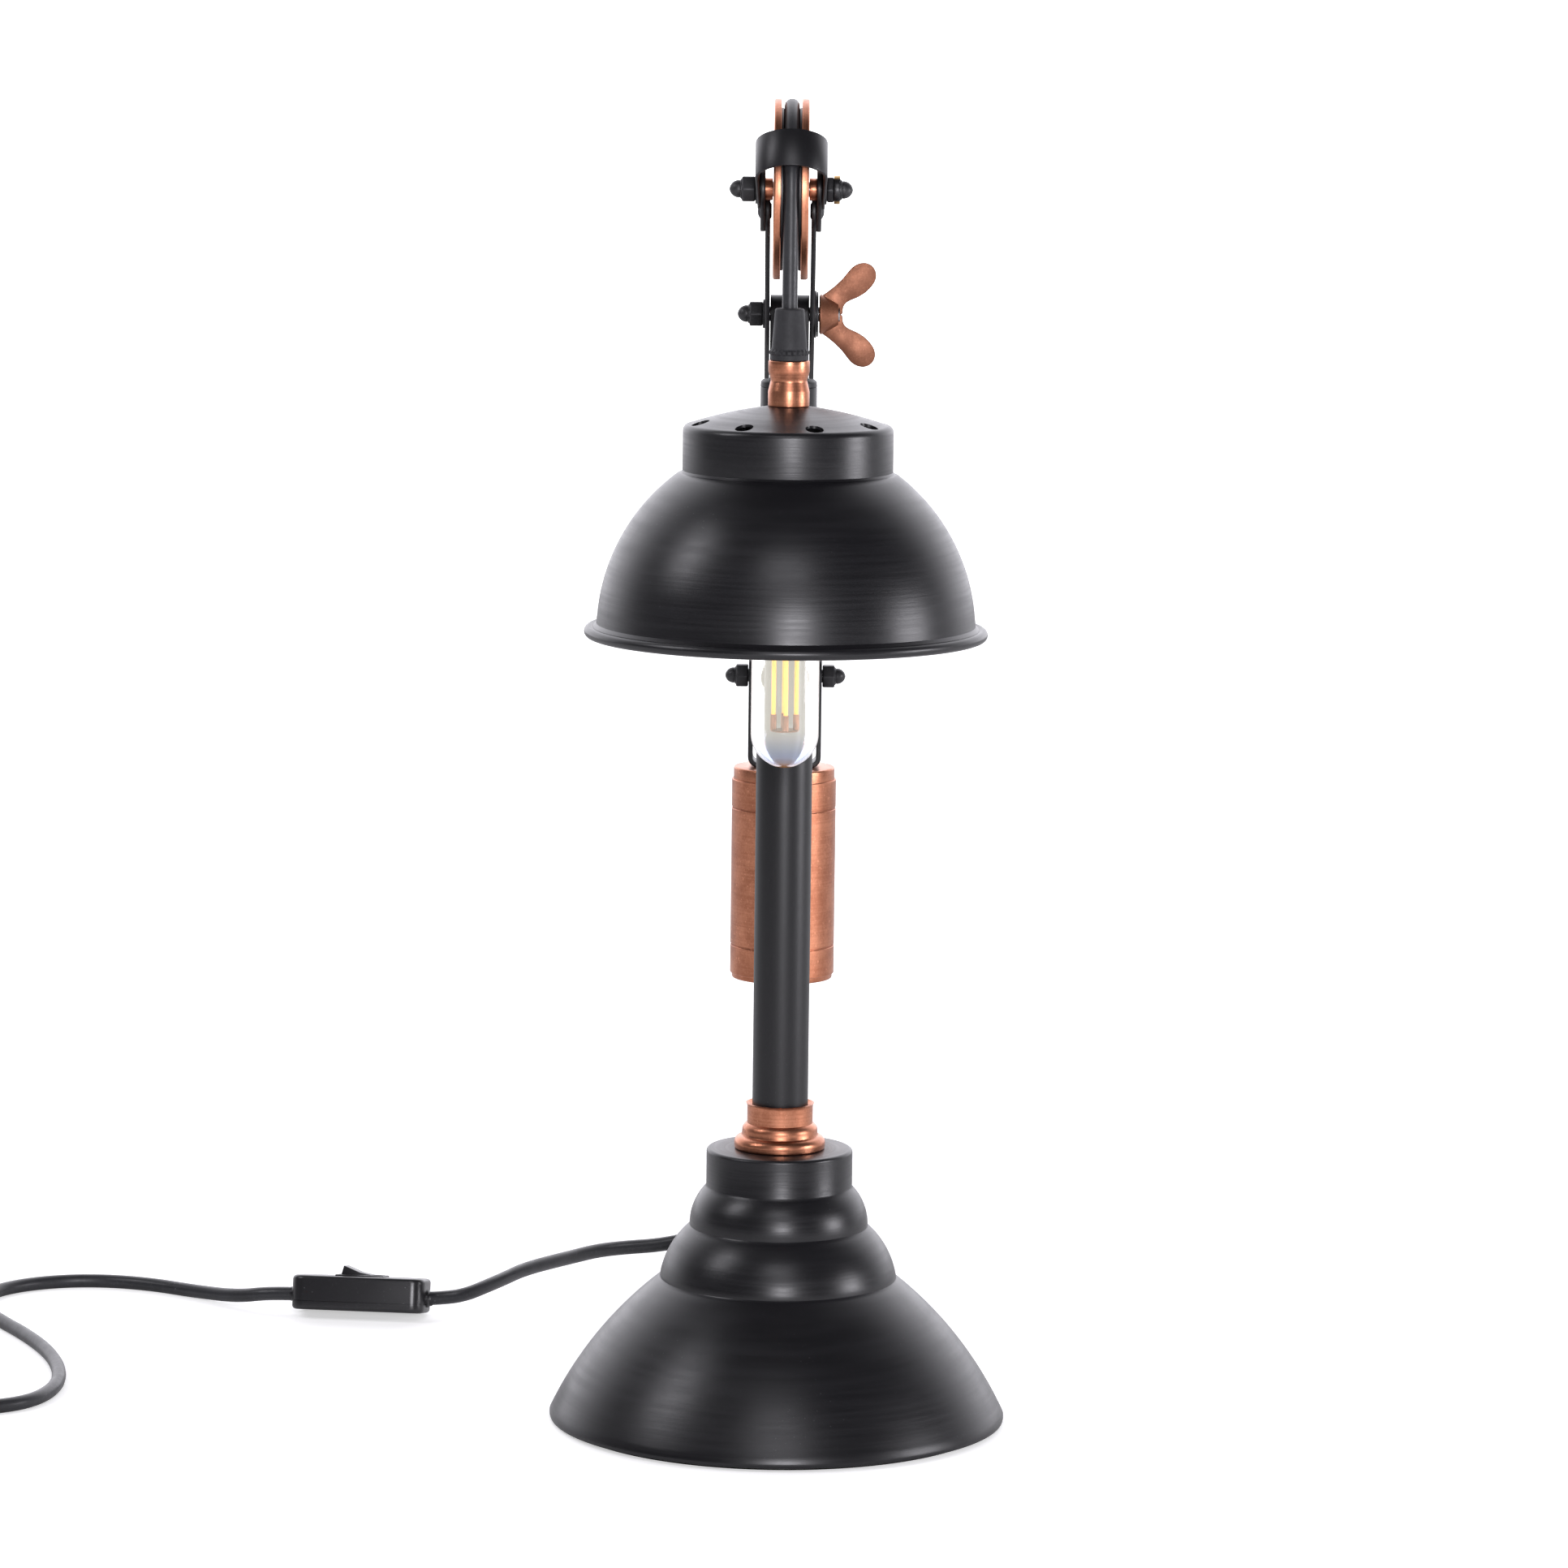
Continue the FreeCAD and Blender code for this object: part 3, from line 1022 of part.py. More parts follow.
def build():
    """Every node of the lamp, by name."""
    nodes = {}
    wall_r = gland_wall_r()
    nodes.update(base_pieces(wall_r))
    nodes["mains_gland"] = mains_gland(wall_r, nodes["base_shell"])
    nodes.update(stem_pieces())
    head = tongue_head()
    flex, tail_points = flex_pieces(wall_r)
    spot, heading = stem_hole(tail_points)
    hole = Part.makeCylinder(FLEX_R + 1.4, 12, spot - heading * 6, heading)
    pipe = nodes["stem_pipe"].cut(hole)
    channel = Part.makeCylinder(FLEX_R + SLACK, 60, spot - heading * 8, heading)
    head = head.cut(channel)
    for side in (-1, 1):
        grub_z = STEM_TOP_Z - GRUB_BELOW_TOP
        low = STEM_R - STEM_WALL - 3.0
        hole = rod(min(side * low, side * STEM_R), max(side * low, side * STEM_R), GRUB_R, 0, grub_z)
        pipe = pipe.cut(hole)
        head = head.cut(hole)
        grub = nodes.setdefault("stem_grub_screws", [])
        grub.append(hole)
    nodes["stem_grub_screws"] = Part.makeCompound(nodes["stem_grub_screws"])
    nodes["stem_pipe"] = pipe
    nodes["stem_head"] = head
    nodes["flex_grommet"] = flex_grommet(tail_points, pipe, head)
    nodes.update(flex)
    nodes["flex_in_stem"] = routed("flex_in_stem", tail_points, FLEX_R)
    bar, cheek, rivet = arm_side()
    nodes["arm_bar_right"] = bar
    nodes["arm_bar_left"] = mirror_x(bar)
    nodes["pulley_cheek_right"] = cheek
    nodes["pulley_cheek_left"] = mirror_x(cheek)
    nodes["cheek_rivets"] = Part.makeCompound([rivet, mirror_x(rivet)])
    nodes.update(axle_pieces())
    nodes["keeper_strap"] = keeper_strap()
    nodes.update(pulley_pieces())
    nodes.update(pivot_pieces())
    nodes["wing_nut"] = wing_nut()
    nodes.update(rear_pieces())
    nodes.update(weight_pieces())
    nodes["shade_shell"] = shade_shell()
    nodes.update(neck_pieces())
    holder, holder_low = holder_pieces()
    nodes.update(holder)
    nodes.update(bulb_pieces(holder_low))
    nodes.update(switch_pieces())
    near, far, tail = mains_routes(wall_r)
    nodes["mains_cord_near"] = routed("mains_cord_near", near, CORD_R)
    nodes["mains_cord_far"] = routed("mains_cord_far", far, CORD_R)
    nodes["mains_cord_tail"] = routed("mains_cord_tail", tail, CORD_R)
    nodes["mains_coil"] = mains_coil()
    nodes.update(plug_pieces())
    return nodes


os.makedirs("parts", exist_ok=True)
for name, shape in build().items():
    shape.exportStep("parts/" + name + ".step")
    print(name, "solids", len(shape.Solids), "valid", shape.isValid(),
          "volume", round(shape.Volume, 1))
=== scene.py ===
"""The pipe table lamp with a pulley arm and a counterweight, dressed for its portrait.

Sizes are in millimetres, as on the drawing, and each mesh is scaled to metres at the end.
+Z is up, -Y is the front, where the shade hangs, and +X is to the right.
"""
import logging
import math
from dataclasses import dataclass
from enum import Enum
from typing import Callable, ClassVar, Sequence

import bmesh
import bpy
from mathutils import Matrix, Vector


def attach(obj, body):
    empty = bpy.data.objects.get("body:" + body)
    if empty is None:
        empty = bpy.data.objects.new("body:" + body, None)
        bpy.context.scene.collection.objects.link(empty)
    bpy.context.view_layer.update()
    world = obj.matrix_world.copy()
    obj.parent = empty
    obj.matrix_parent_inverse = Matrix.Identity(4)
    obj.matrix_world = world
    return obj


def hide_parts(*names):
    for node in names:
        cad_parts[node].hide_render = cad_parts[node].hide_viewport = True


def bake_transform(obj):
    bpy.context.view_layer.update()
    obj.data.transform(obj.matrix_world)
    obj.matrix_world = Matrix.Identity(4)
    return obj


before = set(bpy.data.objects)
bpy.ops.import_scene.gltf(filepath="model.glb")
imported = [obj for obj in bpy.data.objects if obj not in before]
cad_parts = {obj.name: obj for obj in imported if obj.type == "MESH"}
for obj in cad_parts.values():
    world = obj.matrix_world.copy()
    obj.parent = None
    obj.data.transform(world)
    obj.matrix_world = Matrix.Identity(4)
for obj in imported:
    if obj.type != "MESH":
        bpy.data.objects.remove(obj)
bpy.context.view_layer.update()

MM = 0.001
Ring = tuple[float, float]
Point = tuple[float, float, float]
log = logging.getLogger("lamp")


class Axis(Enum):
    """The line that a piece is turned about."""

    UP = (0.0, 0.0, 1.0)
    ACROSS = (1.0, 0.0, 0.0)


class Body(Enum):
    """What a piece rides on."""

    BASE = "base"
    ROCKER = "rocker"
    ARM = "arm"
    PULLEY = "pulley"
    WING_NUT = "wing_nut"
    WEIGHT = "counterweight"
    SHADE = "shade"


# Shared sizes: the stem, the arm's slope and the three axes that things turn on
PIVOT_Z = 471.3
SLOPE = 35.3
FRONT_REACH = 95.6
REAR_REACH = 316.0
AXLE_Y = -FRONT_REACH * math.cos(math.radians(SLOPE))
AXLE_Z = PIVOT_Z + FRONT_REACH * math.sin(math.radians(SLOPE))
REAR_Y = REAR_REACH * math.cos(math.radians(SLOPE))
REAR_Z = PIVOT_Z - REAR_REACH * math.sin(math.radians(SLOPE))
PITCH_R = 33.6
HANG_Y = AXLE_Y - PITCH_R
FLEX_R = 3.1
BAR_INNER = 8.4
BAR_OUTER = 10.4
CHEEK_OUT = 12.4
STRAP_OUT = 13.6
STEM_R = 11.8
STEM_TOP_Z = 441.0
BASE_TOP_Z = 117.7
NECK_FOOT_Z = 441.3
BULB_TIP_Z = NECK_FOOT_Z - 146.0
RING_BAND_HALF = 4.7


def bow(start: Ring, middle: Ring, end: Ring, count: int = 10) -> list[Ring]:
    """Rings along the arc from start through middle to end, without the start.

    Args:
        start: Where the arc begins, as (radius, height).
        middle: A ring that the arc passes through.
        end: Where it ends.
        count: How many rings it gets.

    Returns:
        The rings, the last of them at end.
    """
    a, b, c = (Vector(p) for p in (start, middle, end))
    turn = 2 * ((b - a).cross(c - a))
    toward_b = (b - a).length_squared
    toward_c = (c - a).length_squared
    hub = a + Vector(((c - a).y * toward_b - (b - a).y * toward_c,
                      (b - a).x * toward_c - (c - a).x * toward_b)) / turn
    first = math.atan2((a - hub).y, (a - hub).x)
    sweep = math.atan2((c - hub).y, (c - hub).x) - first
    if (sweep > 0) != (turn > 0):
        sweep += math.tau if turn > 0 else -math.tau
    radius = (a - hub).length
    return [(hub.x + radius * math.cos(first + sweep * k / count),
             hub.y + radius * math.sin(first + sweep * k / count)) for k in range(1, count + 1)]


class Workpiece:
    """A piece on the bench: a bmesh in millimetres and the cuts made to it."""

    def __init__(self) -> None:
        """Starts with nothing on the bench."""
        self.mesh = bmesh.new()

    def join(self, other: "Workpiece") -> "Workpiece":
        """Adds another workpiece to this one.

        Args:
            other: The piece to add, which is used up.

        Returns:
            This workpiece.
        """
        spare = bpy.data.meshes.new("spare")
        other.mesh.to_mesh(spare)
        other.mesh.free()
        self.mesh.from_mesh(spare)
        bpy.data.meshes.remove(spare)
        return self

    def move(self, by: Point) -> "Workpiece":
        """Shifts the whole piece by a distance along each axis."""
        bmesh.ops.translate(self.mesh, vec=by, verts=self.mesh.verts)
        return self

    def swing(self, degrees: float, axis: str, about: Point = (0, 0, 0)) -> "Workpiece":
        """Turns the whole piece.

        Args:
            degrees: How far.
            axis: X, Y or Z.
            about: A point on the axis.

        Returns:
            This workpiece.
        """
        turn = Matrix.Rotation(math.radians(degrees), 3, axis)
        bmesh.ops.rotate(self.mesh, cent=about, matrix=turn, verts=self.mesh.verts)
        return self

    def round_off(self, chosen: Callable[[bmesh.types.BMEdge], bool], width: float,
                  segments: int = 3) -> "Workpiece":
        """Rounds the edges that a test picks.

        Args:
            chosen: The test.
            width: The width of the rounding.
            segments: How many facets it gets.

        Returns:
            This workpiece.
        """
        edges = [edge for edge in self.mesh.edges if chosen(edge)]
        bmesh.ops.bevel(self.mesh, geom=edges, offset=width, offset_type="OFFSET",
                        segments=segments, profile=0.5, affect="EDGES", material=-1,
                        clamp_overlap=True)
        return self

    def soften(self, width: float, segments: int = 2, angle: float = 40.0) -> "Workpiece":
        """Rounds every edge that is sharper than an angle in degrees."""
        limit = math.radians(angle)
        return self.round_off(lambda edge: len(edge.link_faces) == 2
                              and edge.calc_face_angle(0.0) > limit, width, segments)

    def shown(self, name: str, body: Body, finish: "Finish", *nodes: str) -> bpy.types.Object:
        """Puts the piece into the scene in metres, on its body and in its finish.

        Args:
            name: The object's name.
            body: What it rides on.
            finish: Its finish.
            nodes: The drawing's pieces that it stands for.

        Returns:
            The new object.
        """
        bmesh.ops.scale(self.mesh, vec=(MM, MM, MM), verts=self.mesh.verts)
        sharp = math.radians(32.0)
        for edge in self.mesh.edges:
            edge.smooth = len(edge.link_faces) == 2 and edge.calc_face_angle(0.0) < sharp
        for face in self.mesh.faces:
            face.smooth = True
        data = bpy.data.meshes.new(name)
        self.mesh.to_mesh(data)
        self.mesh.free()
        piece = bpy.data.objects.new(name, data)
        bpy.context.scene.collection.objects.link(piece)
        return settle(piece, body, finish, *nodes)


def settle(piece: bpy.types.Object, body: Body, finish: "Finish",
           *nodes: str) -> bpy.types.Object:
    """Gives an object its finish and its body, and hides the drawing's pieces that it stands for."""
    piece.data.materials.clear()
    piece.data.materials.append(finish.material())
    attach(piece, body.value)
    if nodes:
        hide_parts(*nodes)
    log.info("%s in %s", piece.name, finish.slot)
    return piece


def turned(profile: Sequence[Ring], axis: Axis, y: float, z: float = 0.0,
           rounds: Sequence[tuple[float, float, float]] = (), steps: int = 128) -> Workpiece:
    """A piece turned on the lathe.

    Args:
        profile: (radius, place along the axis) rings; it closes itself off the axis.
        axis: The line that it turns about.
        y: Where the axis lies from front to back.
        z: Where a level axis lies in height.
        rounds: (radius, place, width) of each ring edge to round.
        steps: Facets round it.

    Returns:
        The workpiece.
    """
    work = Workpiece()
    centre = Vector((0, y, z))

    def place(ring: Ring) -> Vector:
        """The ring's seam point in space."""
        if axis is Axis.UP:
            return Vector((ring[0], y, ring[1]))
        return Vector((ring[1], y, z + ring[0]))

    made = [work.mesh.verts.new(place(ring)) for ring in profile]
    edges = [work.mesh.edges.new(pair) for pair in zip(made, made[1:])]
    if profile[0][0] > 0 or profile[-1][0] > 0:
        edges.append(work.mesh.edges.new((made[-1], made[0])))
    bmesh.ops.spin(work.mesh, geom=made + edges, cent=centre, axis=axis.value,
                   angle=math.tau, steps=steps, use_merge=True)
    bmesh.ops.remove_doubles(work.mesh, verts=work.mesh.verts, dist=1e-4)
    bmesh.ops.recalc_face_normals(work.mesh, faces=work.mesh.faces)
    line = Vector(axis.value)
    for radius, along, width in rounds:
        def on_ring(vert: bmesh.types.BMVert) -> bool:
            """Whether a vertex lies on the ring."""
            arm = vert.co - centre if axis is Axis.ACROSS else vert.co - Vector((0, y, 0))
            height = arm.dot(line)
            return abs(height - along) < 0.02 and abs((arm - line * height).length - radius) < 0.02
        work.round_off(lambda edge: all(on_ring(vert) for vert in edge.verts), width)
    return work


def strip(length: float, width: float, thick: float, round_ends: bool = True,
          slices: float = 0.0, edge: float = 0.3) -> Workpiece:
    """A flat bar along X, centred on Y and Z, that starts at X 0.

    Args:
        length: Between the centres of its round ends, or between its square ends.
        width: Across it, on Y.
        thick: Through it, on Z.
        round_ends: Whether its ends are half round.
        slices: The longest stretch between cuts across it, or 0 for none.
        edge: The rounding along its edges.

    Returns:
        The workpiece.
    """
    work = Workpiece()
    if round_ends:
        bmesh.ops.create_circle(work.mesh, cap_ends=True, segments=48, radius=width / 2)
        far = [vert for vert in work.mesh.verts if vert.co.x > 1e-4]
    else:
        bmesh.ops.create_grid(work.mesh, x_segments=1, y_segments=1, size=width / 2)
        for vert in work.mesh.verts:
            vert.co.x = 1.0 if vert.co.x > 0 else 0.0
        far = [vert for vert in work.mesh.verts if vert.co.x > 0.5]
        length -= 1.0
    bmesh.ops.translate(work.mesh, vec=(length, 0, 0), verts=far)
    risen = bmesh.ops.extrude_face_region(work.mesh, geom=list(work.mesh.faces))
    tops = [item for item in risen["geom"] if isinstance(item, bmesh.types.BMVert)]
    bmesh.ops.translate(work.mesh, vec=(0, 0, thick), verts=tops)
    bmesh.ops.recalc_face_normals(work.mesh, faces=work.mesh.faces)
    work.move((0, 0, -thick / 2))
    if edge:
        work.soften(edge, 2, 60.0)
    reach = length + (width if round_ends else 1.0)
    count = int(reach / slices) if slices else 0
    for k in range(1, count):
        spot = reach * k / count - (width / 2 if round_ends else 0.0)
        everything = work.mesh.verts[:] + work.mesh.edges[:] + work.mesh.faces[:]
        bmesh.ops.bisect_plane(work.mesh, geom=everything, plane_co=(spot, 0, 0),
                               plane_no=(1, 0, 0), dist=1e-4)
    return work


def bent(work: Workpiece, runs: Sequence[tuple[float, float]],
         place: Callable[[float, float, float], Point], first: float = 0.0) -> Workpiece:
    """Bends a sliced strip along runs and turns.

    Args:
        work: The strip, along X.
        runs: (length, degrees) of each run; a run of 0 degrees is straight.
        place: Puts (along, up, across) of the bent strip into space.
        first: Where on the strip the first run starts.

    Returns:
        The same workpiece.
    """
    for vert in work.mesh.verts:
        left, spot, heading = vert.co.x - first, Vector((0, 0)), 0.0
        for number, (length, degrees) in enumerate(runs):
            last = number == len(runs) - 1
            here = left if last or left < length else length
            if here < 0 and number > 0:
                break
            turn = math.radians(degrees) * here / length
            if abs(turn) > 1e-9:
                radius = length / math.radians(degrees)
                spot += radius * Vector((math.sin(heading + turn) - math.sin(heading),
                                         math.cos(heading) - math.cos(heading + turn)))
            else:
                spot += here * Vector((math.cos(heading), math.sin(heading)))
            heading += turn
            left -= here
            if left <= 0:
                break
        aside = Vector((-math.sin(heading), math.cos(heading))) * vert.co.z
        vert.co = place(spot.x + aside.x, spot.y + aside.y, vert.co.y)
    bmesh.ops.recalc_face_normals(work.mesh, faces=work.mesh.faces)
    return work


def hexagon(across: float, face: float, end: float, y: float, z: float) -> Workpiece:
    """A hexagonal nut body on a level axis, its corners rounded as a forged nut's are."""
    work = Workpiece()
    bmesh.ops.create_circle(work.mesh, cap_ends=True, segments=6, radius=across / math.sqrt(3))
    work.swing(90, "Y").move((face, y, z))
    risen = bmesh.ops.extrude_face_region(work.mesh, geom=list(work.mesh.faces))
    tops = [item for item in risen["geom"] if isinstance(item, bmesh.types.BMVert)]
    bmesh.ops.translate(work.mesh, vec=(end - face, 0, 0), verts=tops)
    bmesh.ops.recalc_face_normals(work.mesh, faces=work.mesh.faces)
    return work.soften(0.7, 3)


def cap_nut(face: float, side: int, y: float, z: float, groove: bool = False) -> Workpiece:
    """A domed nut that closes the end of a bolt.

    Args:
        face: Where it starts, as a distance from the middle.
        side: 1 for the right-hand end and -1 for the left.
        y: The bolt's place from front to back.
        z: The bolt's height.
        groove: Whether it has a groove for a lock ring.

    Returns:
        The workpiece.
    """
    across, thick, dome_r, dome_h = 10.0, 5.6, 3.6, 5.0
    low, high = face * side, (face + thick) * side
    if groove:
        work = hexagon(across, low, low + 2.9 * side, y, z)
        work.join(turned([(0, low + 2.7 * side), (4.3, low + 2.7 * side),
                          (4.3, high), (0, high)], Axis.ACROSS, y, z, steps=48))
    else:
        work = hexagon(across, low, high, y, z)
    base = high - 0.4 * side
    neck = [(0.0, base), (dome_r + 0.5, base), (dome_r + 0.5, high + 0.3 * side),
            (dome_r - 0.1, high + 0.7 * side), (dome_r, high + 1.2 * side)]
    dome = bow((dome_r, high + 1.2 * side), (dome_r * 0.72, high + 3.7 * side),
               (0.0, high + dome_h * side), 10)
    return work.join(turned(neck + dome, Axis.ACROSS, y, z, steps=48))


def washer(low: float, high: float, outer: float, inner: float, y: float, z: float) -> Workpiece:
    """A washer, ring or tube on a level axis, with its edges broken."""
    profile = [(inner, low), (outer, low), (outer, high), (inner, high)]
    return turned(profile, Axis.ACROSS, y, z, steps=64).soften(min(0.2, (high - low) / 4), 2)


class Wiring:
    """A node tree that is being wired."""

    def __init__(self, tree: bpy.types.NodeTree) -> None:
        """Takes the tree to wire."""
        self.tree = tree

    def add(self, kind: str, feeds: dict | None = None, **settings: object) -> bpy.types.Node:
        """Adds a node.

        Args:
            kind: Its type, without the words that every shader node's type starts with.
            feeds: Its inputs by name or number, as sockets to link or plain values.
            settings: Its own properties.

        Returns:
            The node.
        """
        node = self.tree.nodes.new(kind if kind.startswith("Node") else "ShaderNode" + kind)
        for name, value in settings.items():
            setattr(node, name, value)
        for name, value in (feeds or {}).items():
            if isinstance(value, bpy.types.NodeSocket):
                self.tree.links.new(value, node.inputs[name])
            else:
                node.inputs[name].default_value = value
        return node

    def sum(self, how: str, *terms: object) -> bpy.types.NodeSocket:
        """A Math node's result.

        Args:
            how: The operation.
            terms: Its sockets or numbers.

        Returns:
            The output socket.
        """
        return self.add("Math", dict(enumerate(terms)), operation=how, use_clamp=False).outputs[0]

    def ramp(self, value: bpy.types.NodeSocket, low: float, high: float) -> bpy.types.NodeSocket:
        """The value spread from 0 at low to 1 at high, smoothly."""
        return self.add("MapRange", {"Value": value, "From Min": low, "From Max": high},
                        interpolation_type="SMOOTHSTEP").outputs["Result"]

    def blend(self, share: object, first: object, second: object) -> bpy.types.NodeSocket:
        """A colour between the first and the second by the share."""
        return self.add("Mix", {0: share, 6: first, 7: second}, data_type="RGBA").outputs[2]


class Effect(Enum):
    """A surface effect that several finishes share, built once as a node group."""

    SPUN = "Spun Rings"
    SPECKS = "Specks"
    SCRATCHES = "Hair Scratches"
    MOTTLE = "Mottle"
    ORANGE_PEEL = "Orange Peel"

    def place(self, wires: Wiring, **feeds: object) -> bpy.types.NodeSocket:
        """Places the effect in a material.

        Args:
            wires: The material's wiring.
            feeds: The group's inputs by name.

        Returns:
            The mask that the group puts out.
        """
        tree = bpy.data.node_groups.get(self.value) or self._build()
        node = wires.add("Group", None, node_tree=tree)
        for name, value in feeds.items():
            if isinstance(value, bpy.types.NodeSocket):
                wires.tree.links.new(value, node.inputs[name])
            else:
                node.inputs[name].default_value = value
        return node.outputs["Mask"]

    def _build(self) -> bpy.types.NodeTree:
        """Builds the effect's group with its named sockets."""
        tree = bpy.data.node_groups.new(self.value, "ShaderNodeTree")
        tree.interface.new_socket("Place", in_out="INPUT", socket_type="NodeSocketVector")
        scale = tree.interface.new_socket("Scale", in_out="INPUT", socket_type="NodeSocketFloat")
        scale.default_value = 1.0
        tree.interface.new_socket("Mask", in_out="OUTPUT", socket_type="NodeSocketFloat")
        wires = Wiring(tree)
        inner = wires.add("NodeGroupInput")
        mask = getattr(self, "_" + self.name.lower())(wires, inner.outputs[0], inner.outputs[1])
        wires.add("NodeGroupOutput", {"Mask": mask})
        return tree

    def _spun(self, wires: Wiring, place: object, scale: object) -> bpy.types.NodeSocket:
        """Fine rings about the Z axis of Place, which drift a little on their way round."""
        axes = wires.add("SeparateXYZ", {0: place}).outputs
        radius = wires.sum("SQRT", wires.sum("ADD", wires.sum("MULTIPLY", axes[0], axes[0]),
                                             wires.sum("MULTIPLY", axes[1], axes[1])))
        along = wires.sum("ADD", wires.sum("MULTIPLY", radius, 700.0),
                          wires.sum("MULTIPLY", axes[2], 900.0))
        rings = wires.add("CombineXYZ", {0: wires.sum("MULTIPLY", axes[0], 16.0),
                                         1: wires.sum("MULTIPLY", axes[1], 16.0),
                                         2: wires.sum("MULTIPLY", along, scale)}).outputs[0]
        noise = wires.add("TexNoise", {"Vector": rings, "Scale": 1.0, "Detail": 3.0,
                                       "Roughness": 0.6})
        return wires.ramp(noise.outputs[0], 0.32, 0.7)

    def _specks(self, wires: Wiring, place: object, scale: object) -> bpy.types.NodeSocket:
        """Small pale specks of dust, thicker in some places than in others."""
        cells = wires.add("TexVoronoi", {"Vector": place, "Scale": wires.sum("MULTIPLY", scale, 420.0),
                                         "Randomness": 1.0})
        crowd = wires.add("TexNoise", {"Vector": place, "Scale": wires.sum("MULTIPLY", scale, 34.0),
                                       "Detail": 2.0})
        dots = wires.ramp(cells.outputs["Distance"], 0.16, 0.05)
        return wires.sum("MULTIPLY", dots, wires.ramp(crowd.outputs[0], 0.56, 0.7))

    def _scratches(self, wires: Wiring, place: object, scale: object) -> bpy.types.NodeSocket:
        """Short thin marks that lie across each other."""
        marks = None
        for turn, stretch in ((0.5, 60.0), (2.1, 45.0)):
            laid = wires.add("Mapping", {"Vector": place, "Rotation": (turn, turn * 0.7, turn),
                                         "Scale": (stretch * 16, stretch, stretch * 9)})
            noise = wires.add("TexNoise", {"Vector": laid.outputs[0], "Scale": scale,
                                           "Detail": 1.0})
            mark = wires.ramp(noise.outputs[0], 0.69, 0.78)
            marks = mark if marks is None else wires.sum("MAXIMUM", marks, mark)
        return marks

    def _mottle(self, wires: Wiring, place: object, scale: object) -> bpy.types.NodeSocket:
        """Soft clouds with a finer grain inside them, as patina lies on copper."""
        broad = wires.add("TexNoise", {"Vector": place, "Scale": wires.sum("MULTIPLY", scale, 70.0),
                                       "Detail": 5.0, "Roughness": 0.62})
        fine = wires.add("TexNoise", {"Vector": place, "Scale": wires.sum("MULTIPLY", scale, 620.0),
                                      "Detail": 3.0, "Roughness": 0.7})
        both = wires.sum("ADD", wires.sum("MULTIPLY", broad.outputs[0], 0.65),
                         wires.sum("MULTIPLY", fine.outputs[0], 0.35))
        return wires.ramp(both, 0.36, 0.64)

    def _orange_peel(self, wires: Wiring, place: object, scale: object) -> bpy.types.NodeSocket:
        """The fine ripple of baked powder or moulded skin."""
        noise = wires.add("TexNoise", {"Vector": place, "Scale": wires.sum("MULTIPLY", scale, 1500.0),
                                       "Detail": 2.0, "Roughness": 0.5})
        return noise.outputs[0]


